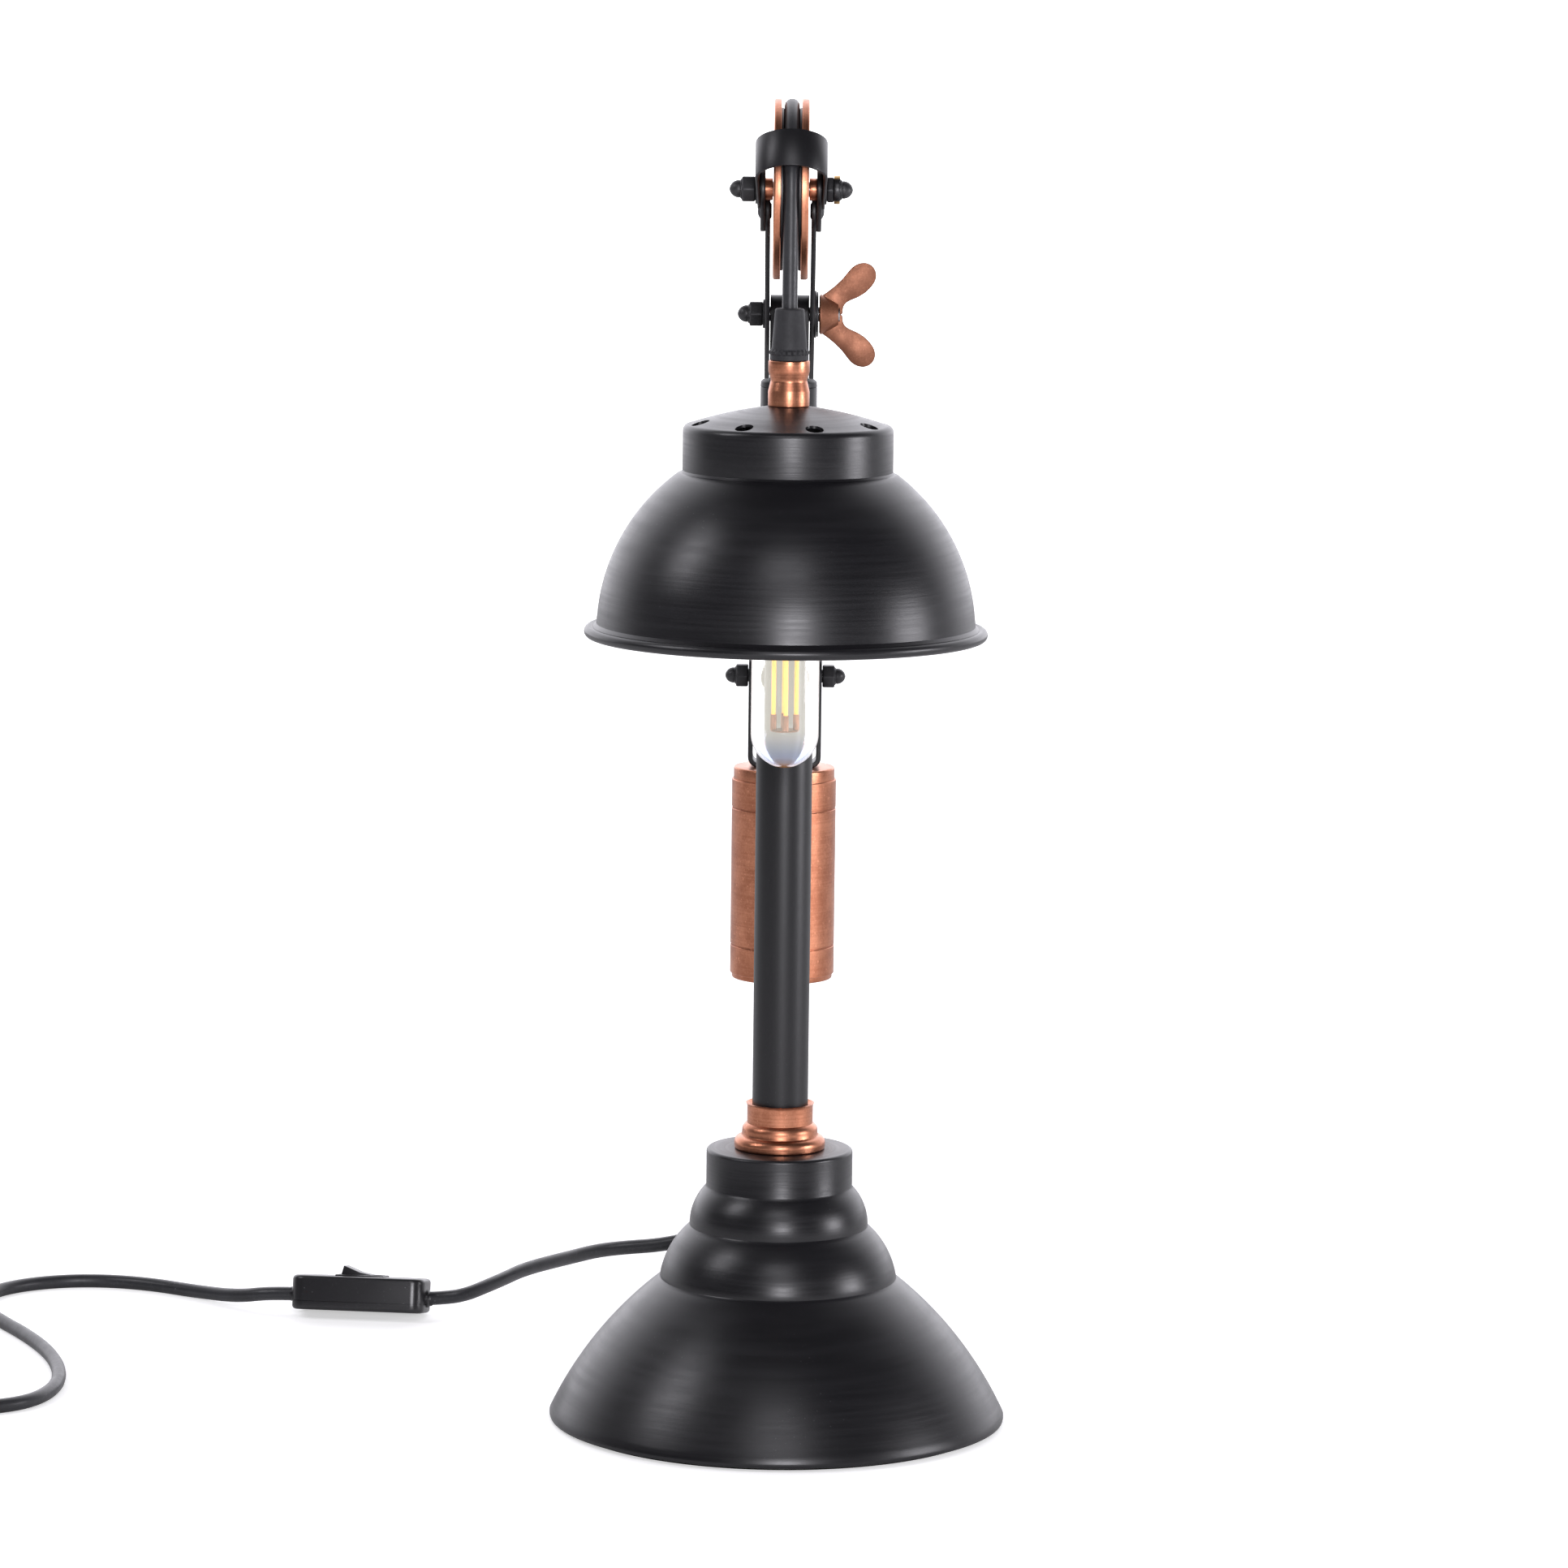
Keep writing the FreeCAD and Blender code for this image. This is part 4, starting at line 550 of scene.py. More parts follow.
@dataclass(frozen=True)
class Finish:
    """A finish: its slot, its colours and how it shines."""

    name: str
    slot: str
    deep: tuple[float, float, float]
    light: tuple[float, float, float]
    rough: float = 0.4
    metallic: float = 0.0
    specular: float = 0.5
    axis: Axis = Axis.UP
    centre: Point = (0.0, 0.0, 0.0)
    grain: float = 1.0
    spun: float = 0.0
    mottle: float = 0.5
    specks: float = 0.0
    scratches: float = 0.0
    peel: float = 0.1

    def material(self) -> bpy.types.Material:
        """The material of this finish, made once."""
        return bpy.data.materials.get(self.name) or self._mix()

    def _place(self, wires: Wiring) -> bpy.types.NodeSocket:
        """Where a point of the piece is, with the axis that it was turned on as Z."""
        spot = wires.add("TexCoord").outputs["Object"]
        centred = wires.add("Mapping", {"Vector": spot,
                                        "Location": tuple(-MM * c for c in self.centre)})
        if self.axis is Axis.UP:
            return centred.outputs[0]
        tip = wires.add("Mapping", {"Vector": centred.outputs[0],
                                    "Rotation": (0.0, math.pi / 2, 0.0)})
        return tip.outputs[0]

    def _mix(self) -> bpy.types.Material:
        """Wires the material."""
        made = bpy.data.materials.new(self.name)
        made.use_nodes = True
        made.node_tree.nodes.clear()
        wires = Wiring(made.node_tree)
        spot = self._place(wires)
        cloud = Effect.MOTTLE.place(wires, Place=spot, Scale=self.grain)
        share = wires.sum("MULTIPLY", cloud, self.mottle)
        height = wires.sum("MULTIPLY", Effect.ORANGE_PEEL.place(wires, Place=spot, Scale=self.grain),
                           self.peel)
        rough = wires.sum("ADD", wires.sum("MULTIPLY", cloud, -0.12 * self.mottle), self.rough + 0.03)
        if self.spun:
            rings = Effect.SPUN.place(wires, Place=spot, Scale=self.grain)
            share = wires.sum("ADD", share, wires.sum("MULTIPLY", rings, self.spun))
            rough = wires.sum("ADD", rough, wires.sum("MULTIPLY", rings, 0.1 * self.spun))
            height = wires.sum("ADD", height, wires.sum("MULTIPLY", rings, 0.5 * self.spun))
        colour = wires.blend(wires.sum("MINIMUM", share, 1.0), (*self.deep, 1), (*self.light, 1))
        if self.scratches:
            marks = Effect.SCRATCHES.place(wires, Place=spot, Scale=self.grain)
            pale = tuple(min(1.0, c * 1.6 + 0.03) for c in self.light)
            colour = wires.blend(wires.sum("MULTIPLY", marks, self.scratches), colour, (*pale, 1))
        if self.specks:
            dust = Effect.SPECKS.place(wires, Place=spot, Scale=self.grain)
            colour = wires.blend(wires.sum("MULTIPLY", dust, self.specks), colour,
                                 (0.3, 0.3, 0.31, 1))
        bump = wires.add("Bump", {"Height": height, "Strength": 0.25, "Distance": 0.0002})
        self._surface(wires, colour, rough, bump.outputs[0])
        return made

    def _surface(self, wires: Wiring, colour: object, rough: object, normal: object) -> None:
        """Sets the shader of a plain opaque finish."""
        shader = wires.add("BsdfPrincipled", {
            "Base Color": colour, "Roughness": rough, "Normal": normal,
            "Metallic": self.metallic, "Specular IOR Level": self.specular})
        wires.add("OutputMaterial", {"Surface": shader.outputs[0]})


@dataclass(frozen=True)
class Glass(Finish):
    """Clear bulb glass with painted light: a painted warm glow, a painted orange glow at its very tip,
    painted bluish light over its end and painted shade along its edges.
    """

    # The colour of the painted warm glow that the glass gives off; glow sets its strength.
    painted_glow_colour: tuple[float, float, float] = (1.0, 0.95, 0.82)
    glow: float = 0.0
    foot_z: float = 0.0
    foot_h: float = 1.0

    def _surface(self, wires: Wiring, colour: object, rough: object, normal: object) -> None:
        """Sets the shader of the clear glass and its painted light."""
        height = wires.add("SeparateXYZ", {0: wires.add("TexCoord").outputs["Object"]}).outputs[2]
        # Painted bluish light: the glass is bluish over its lowest foot_h millimetres above foot_z.
        up = wires.ramp(height, self.foot_z * MM, (self.foot_z + self.foot_h) * MM)
        painted_blue_end = wires.blend(up, (0.62, 0.68, 0.84, 1), colour)
        # Painted shade: where the glass turns away from the view it darkens to brown-grey, and its
        # painted glow fades there.
        edge = wires.add("LayerWeight", {"Blend": 0.35}).outputs["Facing"]
        rim = wires.ramp(edge, 0.42, 0.66)
        painted_edges_and_end = wires.blend(wires.sum("MULTIPLY", rim, 0.85), painted_blue_end, (0.34, 0.29, 0.27, 1))
        # Painted glow: orange at the very tip, bluish over the end and warm above it.
        tip = wires.ramp(height, (self.foot_z + 0.6) * MM, (self.foot_z + 3.4) * MM)
        shine = wires.blend(up, (0.5, 0.55, 0.7, 1), (*self.painted_glow_colour, 1))
        shader = wires.add("BsdfPrincipled", {
            "Base Color": painted_edges_and_end, "Roughness": rough, "Normal": normal,
            "Metallic": 0.0, "Transmission Weight": 1.0, "IOR": 1.24,
            "Emission Color": wires.blend(tip, (1.0, 0.42, 0.08, 1), shine),
            "Emission Strength": wires.sum("MULTIPLY", wires.sum("SUBTRACT", 1.0, rim), self.glow)})
        wires.add("OutputMaterial", {"Surface": shader.outputs[0]})


@dataclass(frozen=True)
class BandedRing(Finish):
    """A brass ring that is dark across the middle of its height and brass at its top and its foot."""

    # The dark colour across the ring's middle height.
    cover: tuple[float, float, float] = (0.008, 0.0078, 0.009)

    def _surface(self, wires: Wiring, colour: object, rough: object, normal: object) -> None:
        """Sets the shader of the ring with its dark middle band."""
        height = wires.add("SeparateXYZ", {0: wires.add("TexCoord").outputs["Object"]}).outputs[2]
        # Brass only where the ring lies more than 4.7 mm above or below the axle; dark and not metal
        # between.
        off = wires.sum("ABSOLUTE", wires.sum("SUBTRACT", height, AXLE_Z * MM))
        brass_share = wires.ramp(off, (RING_BAND_HALF - 0.5) * MM, (RING_BAND_HALF + 0.3) * MM)
        shader = wires.add("BsdfPrincipled", {
            "Base Color": wires.blend(brass_share, (*self.cover, 1), colour), "Roughness": rough,
            "Normal": normal, "Metallic": brass_share, "Specular IOR Level": self.specular})
        wires.add("OutputMaterial", {"Surface": shader.outputs[0]})


@dataclass(frozen=True)
class Glow(Finish):
    """A filament stick that glows through its coat of phosphor."""

    strength: float = 1.0

    def _surface(self, wires: Wiring, colour: object, rough: object, normal: object) -> None:
        """Sets the shader of the glowing stick."""
        shader = wires.add("BsdfPrincipled", {
            "Base Color": colour, "Roughness": rough, "Normal": normal,
            "Emission Color": colour, "Emission Strength": self.strength})
        wires.add("OutputMaterial", {"Surface": shader.outputs[0]})


BLACK_DEEP = (0.0052, 0.0050, 0.0062)
BLACK_LIGHT = (0.0094, 0.0091, 0.0110)
COPPER_DEEP = (0.36, 0.135, 0.075)
COPPER_LIGHT = (0.62, 0.27, 0.16)


def black_paint(name: str, axis: Axis = Axis.UP, centre: Point = (0, 0, 0),
                spun: float = 0.0, rough: float = 0.31) -> Finish:
    """Satin black powder coat, spun or plain."""
    return Finish(name, "black_paint", BLACK_DEEP, BLACK_LIGHT, rough, specular=0.45, axis=axis,
                  centre=centre, spun=spun, mottle=0.2, specks=0.1, scratches=0.06, peel=0.12)


def antique_copper(name: str, axis: Axis = Axis.UP, centre: Point = (0, 0, 0),
                   spun: float = 0.35, rough: float = 0.34) -> Finish:
    """Brushed copper under a brown patina."""
    return Finish(name, "copper", COPPER_DEEP, COPPER_LIGHT, rough, metallic=1.0, axis=axis,
                  centre=centre, spun=spun, mottle=0.5, grain=1.4, specks=0.05, scratches=0.3,
                  peel=0.08)


SHADE_AXIS = (0.0, HANG_Y, 0.0)
AXLE = (0.0, AXLE_Y, AXLE_Z)
BASE_BLACK = black_paint("Base Black", spun=0.5)
STEM_BLACK = black_paint("Stem Black", rough=0.4)
SHADE_BLACK = black_paint("Shade Black", centre=SHADE_AXIS, spun=0.5)
ARM_BLACK = black_paint("Arm Black", rough=0.38)
FITTING_COPPER = antique_copper("Fitting Copper")
NECK_COPPER = antique_copper("Neck Copper", centre=SHADE_AXIS)
PULLEY_COPPER = antique_copper("Pulley Copper", Axis.ACROSS, AXLE)
WEIGHT_COPPER = antique_copper("Weight Copper", centre=(0.0, REAR_Y, 0.0), spun=0.25)
WING_COPPER = Finish("Wing Copper", "copper", (0.21, 0.08, 0.042), (0.4, 0.17, 0.095), 0.46,
                     metallic=0.6, mottle=0.5, grain=2.0, specks=0.06, scratches=0.3, peel=0.15)
NUT_BLACK = Finish("Nut Black", "dark_iron", (0.012, 0.0118, 0.013), (0.026, 0.0255, 0.028),
                   0.46, mottle=0.5, specks=0.3, scratches=0.2, peel=0.3)
BOLT_STEEL = Finish("Bolt Steel", "steel", (0.32, 0.32, 0.33), (0.56, 0.56, 0.57), 0.3,
                    metallic=1.0, scratches=0.4, mottle=0.6)
RING_BRASS = Finish("Ring Brass", "brass", (0.5, 0.3, 0.08), (0.82, 0.58, 0.22), 0.3,
                    metallic=1.0, axis=Axis.ACROSS, centre=AXLE, spun=0.3, scratches=0.3)
# The axle's lock ring: brass with a dark band across its middle height.
RING_BANDED = BandedRing("Ring Dark Band", "brass", (0.36, 0.2, 0.06), (0.6, 0.4, 0.16), 0.36,
                           mottle=0.6, scratches=0.3, peel=0.2)
RELIEF_RUBBER = Finish("Relief Rubber", "black_rubber", (0.02, 0.02, 0.022),
                       (0.034, 0.034, 0.037), 0.6, specular=0.35, mottle=0.5, specks=0.3, peel=0.5)
SHEATH = Finish("Cord Sheath", "cord_sheath", (0.017, 0.0175, 0.0195), (0.034, 0.035, 0.039), 0.42,
                specular=0.45, mottle=0.6, specks=0.45, scratches=0.18, peel=0.35)
MOULDED = Finish("Moulded Black", "black_plastic", (0.0125, 0.0122, 0.0135), (0.022, 0.0215, 0.024),
                 0.3, mottle=0.4, specks=0.35, scratches=0.2, peel=0.1)
FELT = Finish("Pad Felt", "felt", (0.014, 0.014, 0.014), (0.05, 0.05, 0.048), 0.95, specular=0.1,
              mottle=0.9, grain=2.2, specks=0.5, peel=2.5)
# Both glasses get painted shade along their edges; the bulb's glass also gets a painted glow of
# strength 0.14 and painted bluish light over its lowest 17 mm.
BULB_STEM_GLASS = Glass("Bulb Stem Glass", "clear_glass", (0.97, 0.98, 1.0), (1.0, 1.0, 1.0), 0.0,
                        specular=0.5, mottle=0.4, peel=0.1)
BULB_GLASS = Glass("Bulb Glass", "clear_glass", (0.97, 0.98, 1.0), (1.0, 1.0, 1.0), 0.0,
                   specular=0.5, mottle=0.4, peel=0.1, glow=0.14, foot_z=BULB_TIP_Z, foot_h=17.0)
FILAMENT_GLOW = Glow("Filament Glow", "filament", (0.72, 0.36, 0.04), (0.86, 0.52, 0.09), 0.5,
                     mottle=0.6, strength=0.55)
CONNECTOR = Finish("Filament Foot", "copper", (0.16, 0.06, 0.03), (0.34, 0.14, 0.07), 0.45,
                   metallic=0.6, mottle=0.7)
CAST_IRON = Finish("Cast Iron", "dark_iron", (0.05, 0.05, 0.052), (0.11, 0.11, 0.115), 0.6,
                   metallic=0.8, mottle=0.9, peel=1.2)


def studio() -> None:
    """Makes the camera, the lamps, the pale floor and the white world."""
    scene = bpy.context.scene
    scene.view_settings.view_transform = "Standard"
    camera = bpy.data.objects.new("Portrait Camera", bpy.data.cameras.new("Portrait Camera"))
    camera.data.sensor_width = 36.0
    camera.data.lens = 147.95
    camera.data.clip_end = 50.0
    tip = Matrix.Rotation(math.radians(82.24), 4, "X") @ Matrix.Rotation(math.radians(0.7), 4, "Z")
    camera.matrix_world = Matrix.Translation((0.0, -2.690, 0.640)) @ tip
    scene.collection.objects.link(camera)
    scene.camera = camera
    for name, spot, target, width, height, power in (
            ("Front Softbox", (0.2, -2.6, 0.74), (0.0, 0.0, 0.36), 0.42, 0.42, 34.0),
            ("High Softbox", (0.0, -1.9, 1.9), (0.0, 0.0, 0.3), 1.0, 0.5, 9.0),
            ("Left Softbox", (-1.6, -0.45, 1.6), (0.0, 0.0, 0.35), 0.5, 0.9, 12.0),
            ("Right Softbox", (1.9, -0.45, 0.46), (0.0, 0.0, 0.32), 0.6, 0.6, 17.0)):
        lamp = bpy.data.lights.new(name, "AREA")
        lamp.shape = "RECTANGLE"
        lamp.size, lamp.size_y, lamp.energy = width, height, power
        lamp.color = (0.96, 0.945, 1.0)
        stand = bpy.data.objects.new(name, lamp)
        stand.location = spot
        stand.rotation_mode = "QUATERNION"
        stand.rotation_quaternion = (Vector(target) - Vector(spot)).to_track_quat("-Z", "Y")
        scene.collection.objects.link(stand)
    white_world(scene)
    pale_floor(scene)


def seen_directly(wires: Wiring) -> bpy.types.NodeSocket:
    """1 for rays from the camera and through glass, and a little for rays from metal."""
    path = wires.add("LightPath").outputs
    dim = wires.sum("MULTIPLY", path["Is Glossy Ray"], 0.2)
    some = wires.sum("MAXIMUM", path["Is Camera Ray"], dim)
    return wires.sum("MAXIMUM", some, path["Is Transmission Ray"])


def white_world(scene: bpy.types.Scene) -> None:
    """A world that is a white backdrop with a dim room in front of it.

    Args:
        scene: The scene that gets it.
    """
    world = bpy.data.worlds.new("White Studio")
    world.use_nodes = True
    world.node_tree.nodes.clear()
    wires = Wiring(world.node_tree)
    path = wires.add("LightPath").outputs
    way = wires.add("SeparateXYZ", {0: wires.add("TexCoord").outputs["Generated"]}).outputs
    behind = wires.ramp(way[1], 0.15, 0.85)
    shine = wires.sum("ADD", wires.sum("MULTIPLY", behind, 2.4), 0.05)
    seen = wires.sum("MAXIMUM", path["Is Camera Ray"], path["Is Transmission Ray"])
    level = wires.sum("MAXIMUM", shine, seen)
    tone = wires.blend(seen, (0.95, 0.94, 1.0, 1), (1, 1, 1, 1))
    back = wires.add("Background", {"Color": tone, "Strength": level})
    wires.add("OutputWorld", {"Surface": back.outputs[0]})
    scene.world = world


def pale_floor(scene: bpy.types.Scene) -> None:
    """The white surface that the lamp stands on, which keeps a soft shadow."""
    work = Workpiece()
    bmesh.ops.create_grid(work.mesh, x_segments=1, y_segments=1, size=6000.0)
    bmesh.ops.scale(work.mesh, vec=(MM, MM, MM), verts=work.mesh.verts)
    data = bpy.data.meshes.new("Floor")
    work.mesh.to_mesh(data)
    work.mesh.free()
    floor = bpy.data.objects.new("Floor", data)
    scene.collection.objects.link(floor)
    made = bpy.data.materials.new("Pale Floor")
    made.use_nodes = True
    made.node_tree.nodes.clear()
    wires = Wiring(made.node_tree)
    matt = wires.add("BsdfDiffuse", {"Color": (0.86, 0.86, 0.86, 1)})
    away = wires.add("VectorMath", {0: wires.add("TexCoord").outputs["Object"]},
                     operation="LENGTH").outputs["Value"]
    paler = wires.sum("MULTIPLY", wires.ramp(away, 0.25, 1.2), 0.45)
    level = wires.sum("MULTIPLY", seen_directly(wires), wires.sum("ADD", paler, 0.5))
    glow = wires.add("Emission", {"Color": (1, 1, 1, 1), "Strength": level})
    both = wires.add("AddShader", {0: matt.outputs[0], 1: glow.outputs[0]})
    wires.add("OutputMaterial", {"Surface": both.outputs[0]})
    data.materials.append(made)


def cord_curve(name: str, points: Sequence[Point], radius: float) -> bpy.types.Object:
    """A round cord along a smooth line.

    Its points carry the radius, because a curve's bounds grow by each point's own radius.

    Args:
        name: The object's name.
        points: The route, in millimetres.
        radius: The cord's radius, in millimetres.

    Returns:
        The curve object.
    """
    data = bpy.data.curves.new(name, "CURVE")
    data.dimensions = "3D"
    data.bevel_depth = 1.0
    data.bevel_resolution = 5
    data.resolution_u = 10
    data.use_fill_caps = True
    spline = data.splines.new("NURBS")
    spline.points.add(len(points) - 1)
    for control, point in zip(spline.points, points):
        control.co = (*(MM * c for c in point), 1.0)
        control.radius = radius * MM
    spline.order_u = 3
    spline.use_endpoint_u = True
    cord = bpy.data.objects.new(name, data)
    bpy.context.scene.collection.objects.link(cord)
    return cord


@dataclass
class MainsLead:
    """The lead: its cord, the in-line rocker switch, the coil and the plug."""

    cord_r: float = 3.1
    side: float = 12.0
    exit_z: float = 69.5
    wall_r: float = 48.4
    gland_out: float = 14.0
    gland_in: float = 7.0
    switch_a: Ring = (-159.7, 188.1)
    switch_b: Ring = (-220.6, 195.6)
    bore_z: float = 9.0
    bore_h: float = 6.6
    roll: float = 11.0
    length: float = 61.0
    width: float = 26.0
    height: float = 15.6
    split: float = 4.0
    coil_centre: Ring = (-402.0, -57.0)
    coil_turns: int = 6
    coil_out: float = 44.0
    coil_pitch: float = 7.0
    plug_x: float = -474.0
    plug_y: float = -12.4
    plug_r: float = 18.0

    def outward(self) -> Vector:
        """The way that the cord leaves the base."""
        turn = math.radians(self.side)
        return Vector((-math.sin(turn), math.cos(turn), 0.0))

    def heading(self) -> Vector:
        """The way that the switch points."""
        run = Vector((*self.switch_b, 0)) - Vector((*self.switch_a, 0))
        return run.normalized()

    def coil(self) -> list[Point]:
        """The turns, which spiral in, climb a layer and spiral out again."""
        points = []
        for k in range(1, self.coil_turns * 12):
            turns = k / 12.0
            reach = self.coil_out - self.coil_pitch * min(turns, self.coil_turns - turns)
            climb = min(1.0, max(0.0, (turns - self.coil_turns / 2 + 0.25) * 2))
            rise = 6.8 * (1 - math.cos(math.pi * climb)) / 2
            angle = math.pi / 2 + math.tau * turns
            points.append((self.coil_centre[0] + reach * math.cos(angle),
                           self.coil_centre[1] + reach * math.sin(angle), self.cord_r + rise))
        return points

    def route(self) -> tuple[list[Point], list[Point]]:
        """The cord's two stretches: to the switch, and on to the plug."""
        out, along = self.outward(), self.heading()
        gland = out * (self.wall_r + self.gland_out) + Vector((0, 0, self.exit_z))
        start = Vector((*self.switch_a, self.bore_z))
        near = [tuple(gland - out * 4.0), tuple(gland + out * 7.0), (-22.5, 86.0, 65.0),
                (-36.0, 94.5, 58.6), (-52.0, 99.0, 54.0), (-68.0, 103.5, 51.8),
                (-80.0, 111.5, 48.6), (-92.0, 124.5, 42.8), (-113.5, 152.0, 31.4),
                (-124.0, 168.5, 23.0), (-132.7, 177.7, 17.3), (-140.8, 183.6, 12.6),
                tuple(start - along * 10.0 + Vector((0, 0, 0.9))), tuple(start + along * 2.0)]
        r = self.cord_r
        far = [tuple(start + along * (self.length - 2.0)),
               tuple(start + along * (self.length + 12.0)), (-247.0, 206.0, 5.2),
               (-267.1, 224.0, r), (-293.0, 241.0, r), (-320.3, 247.0, r), (-345.5, 238.5, r),
               (-362.6, 218.8, r), (-365.0, 191.0, r), (-352.5, 161.6, r), (-335.4, 129.6, r),
               (-321.0, 94.6, r), (-312.1, 58.1, r), (-310.8, 24.7, r), (-320.3, -2.6, r),
               (-345.0, -14.4, r), (-372.0, -13.2, r), (-395.8, -13.0, r)]
        tail = [(-408.2, -13.0, 9.9), (-424.2, -13.6, 10.3), (-446.2, -14.6, 16.4),
                (-462.0, -13.0, 18.0), (-474.0, -12.4, 18.0)]
        return near, far + self.coil() + tail

    def lay(self) -> None:
        """Lays the cord, which comes first because its spread is checked."""
        near, far = self.route()
        first = cord_curve("mains_cord_to_switch", near, self.cord_r)
        second = cord_curve("mains_cord_to_plug", far, self.cord_r)
        settle(first, Body.BASE, SHEATH, "mains_cord_near")
        settle(second, Body.BASE, SHEATH, "mains_cord_far", "mains_coil", "mains_cord_tail")
        self.cords = (first, second, near, far)

    def declare(self, gland: bpy.types.Object, switch: Sequence[bpy.types.Object],
                plug: Sequence[bpy.types.Object]) -> None:
        """Works out the first point and the run length of each stretch of cord, and keeps neither."""
        first, second, near, far = self.cords
        [MM * c for c in near[0]]
        run_length(first)
        [MM * c for c in far[0]]
        run_length(second)

    def gland(self) -> bpy.types.Object:
        """The rubber gland whose groove holds the wall of the base."""
        r = self.cord_r
        wall = self.wall_r
        profile = [(r + 0.1, wall + self.gland_out), (r + 0.9, wall + self.gland_out),
                   (r + 1.3, wall + self.gland_out - 0.5), (5.2, wall + 3.6), (6.7, wall + 2.6),
                   (6.7, wall - 5.6), (5.4, wall - self.gland_in), (r + 0.1, wall - self.gland_in)]
        work = turned(profile, Axis.ACROSS, 0, 0, steps=48).soften(0.3, 2)
        out = self.outward()
        work.swing(math.degrees(math.atan2(out.y, out.x)), "Z").move((0, 0, self.exit_z))
        return work.shown("gland_rubber", Body.BASE, RELIEF_RUBBER, "mains_gland")

    def shell(self, low: float, high: float) -> Workpiece:
        """One half of the switch's moulding, along X from 0."""
        work = strip(self.length, self.width, high - low, False, edge=0)
        work.round_off(lambda edge: abs((edge.verts[0].co - edge.verts[1].co).z) > 1, 6.0, 6)
        rim = (high - low) / 2 if high > self.split + 1 else -(high - low) / 2
        work.round_off(lambda edge: all(abs(v.co.z - rim) < 0.01 for v in edge.verts), 1.8, 4)
        return work.move((0, 0, (low + high) / 2))

    def place_switch(self, work: Workpiece) -> Workpiece:
        """Moves a piece made along X to the switch's place."""
        run = self.heading()
        work.move((0, 0, -self.bore_h)).swing(self.roll, "X")
        work.swing(math.degrees(math.atan2(run.y, run.x)), "Z")
        return work.move((*self.switch_a, self.bore_z))

    def switch(self) -> list[bpy.types.Object]:
        """The switch: two shells with a parting line, the window's frame and the rocker."""
        middle = self.length / 2
        low = self.shell(0.0, self.split - 0.15)
        top = self.shell(self.split + 0.15, self.height)
        seam = strip(self.length - 1.2, self.width - 1.2, 1.0, False, edge=0)
        seam.round_off(lambda edge: abs((edge.verts[0].co - edge.verts[1].co).z) > 0.5, 5.4, 6)
        low.join(seam.move((0.6, 0, self.split)))
        frame_rim = strip(22.4, 15.0, 1.6, False, edge=0.5)
        window = strip(19.0, 12.6, 0.6, False, edge=0.15)
        top.join(frame_rim.move((middle - 11.2, 0, self.height)))
        window.move((middle - 9.5, 0, self.height + 0.62))
        for end, way in ((0.0, -1), (self.length, 1)):
            sleeve = turned([(self.cord_r, end - 3 * way), (4.1, end - 3 * way),
                             (4.0, end + 0.8 * way), (3.3, end + 1.4 * way),
                             (3.2, end + 2.2 * way), (self.cord_r, end + 2.2 * way)],
                            Axis.ACROSS, 0, self.bore_h, steps=40)
            low.join(sleeve)
        pieces = [self.place_switch(low).shown("switch_tray", Body.BASE, MOULDED,
                                               "switch_shell_low"),
                  self.place_switch(top).shown("switch_cover", Body.BASE, MOULDED,
                                               "switch_shell_top"),
                  self.place_switch(window).shown("switch_window", Body.BASE, RELIEF_RUBBER)]
        rocker = Workpiece()
        profile = [(-8.5, -4.5), (8.0, -4.5), (8.9, 0.0), (7.6, 4.9), (0.0, 1.9), (-8.5, 0.4)]
        corners = [rocker.mesh.verts.new((x, -5.5, z)) for x, z in profile]
        rocker.mesh.faces.new(corners)
        risen = bmesh.ops.extrude_face_region(rocker.mesh, geom=list(rocker.mesh.faces))
        sides = [item for item in risen["geom"] if isinstance(item, bmesh.types.BMVert)]
        bmesh.ops.translate(rocker.mesh, vec=(0, 11, 0), verts=sides)
        bmesh.ops.recalc_face_normals(rocker.mesh, faces=rocker.mesh.faces)
        rocker.soften(0.35, 2, 30.0).move((middle, 0, self.height))
        pieces.append(self.place_switch(rocker).shown("switch_key", Body.ROCKER, MOULDED,
                                                      "switch_rocker"))
        return pieces

    def plug(self) -> list[bpy.types.Object]:
        """The round plug on its side, with a ribbed grip and two pins."""
        x, r = self.plug_x, self.plug_r
        grip = [(8.4, x - 21.0)]
        for k in range(6):
            foot = x - 22.0 - 3.2 * k
            grip += [(8.9 + 0.3 * k, foot), (9.5 + 0.3 * k, foot - 0.5),
                     (9.5 + 0.3 * k, foot - 2.0), (8.9 + 0.3 * k, foot - 2.5)]
        profile = [(0, x), (4.2, x), (5.2, x - 0.8), (6.4, x - 16.0)] + grip + [
            (11.0, x - 42.0), (r - 2.0, x - 46.0), (r, x - 49.0), (r, x - 59.5),
            (r - 1.5, x - 61.0), (0, x - 61.0)]
        body = turned(profile, Axis.ACROSS, self.plug_y, r, steps=96)
        pins = Workpiece()
        for way in (-1, 1):
            pin = turned([(0, x - 60.5), (2.4, x - 60.5), (2.4, x - 78.8), (1.4, x - 80.0),
                          (0, x - 80.0)], Axis.ACROSS, self.plug_y + way * 9.5, r, steps=40)
            pins.join(pin)
        return [body.shown("plug_moulding", Body.BASE, MOULDED, "plug_body"),
                pins.shown("plug_contacts", Body.BASE, BOLT_STEEL, "plug_pins")]


def run_length(cord: bpy.types.Object) -> float:
    """The length of a cord's own line, in metres."""
    depth, cord.data.bevel_depth = cord.data.bevel_depth, 0.0
    bpy.context.view_layer.update()
    graph = bpy.context.evaluated_depsgraph_get()
    line = bpy.data.meshes.new_from_object(cord.evaluated_get(graph))
    total = sum((line.vertices[a].co - line.vertices[b].co).length
                for a, b in (edge.vertices for edge in line.edges))
    bpy.data.meshes.remove(line)
    cord.data.bevel_depth = depth
    return total


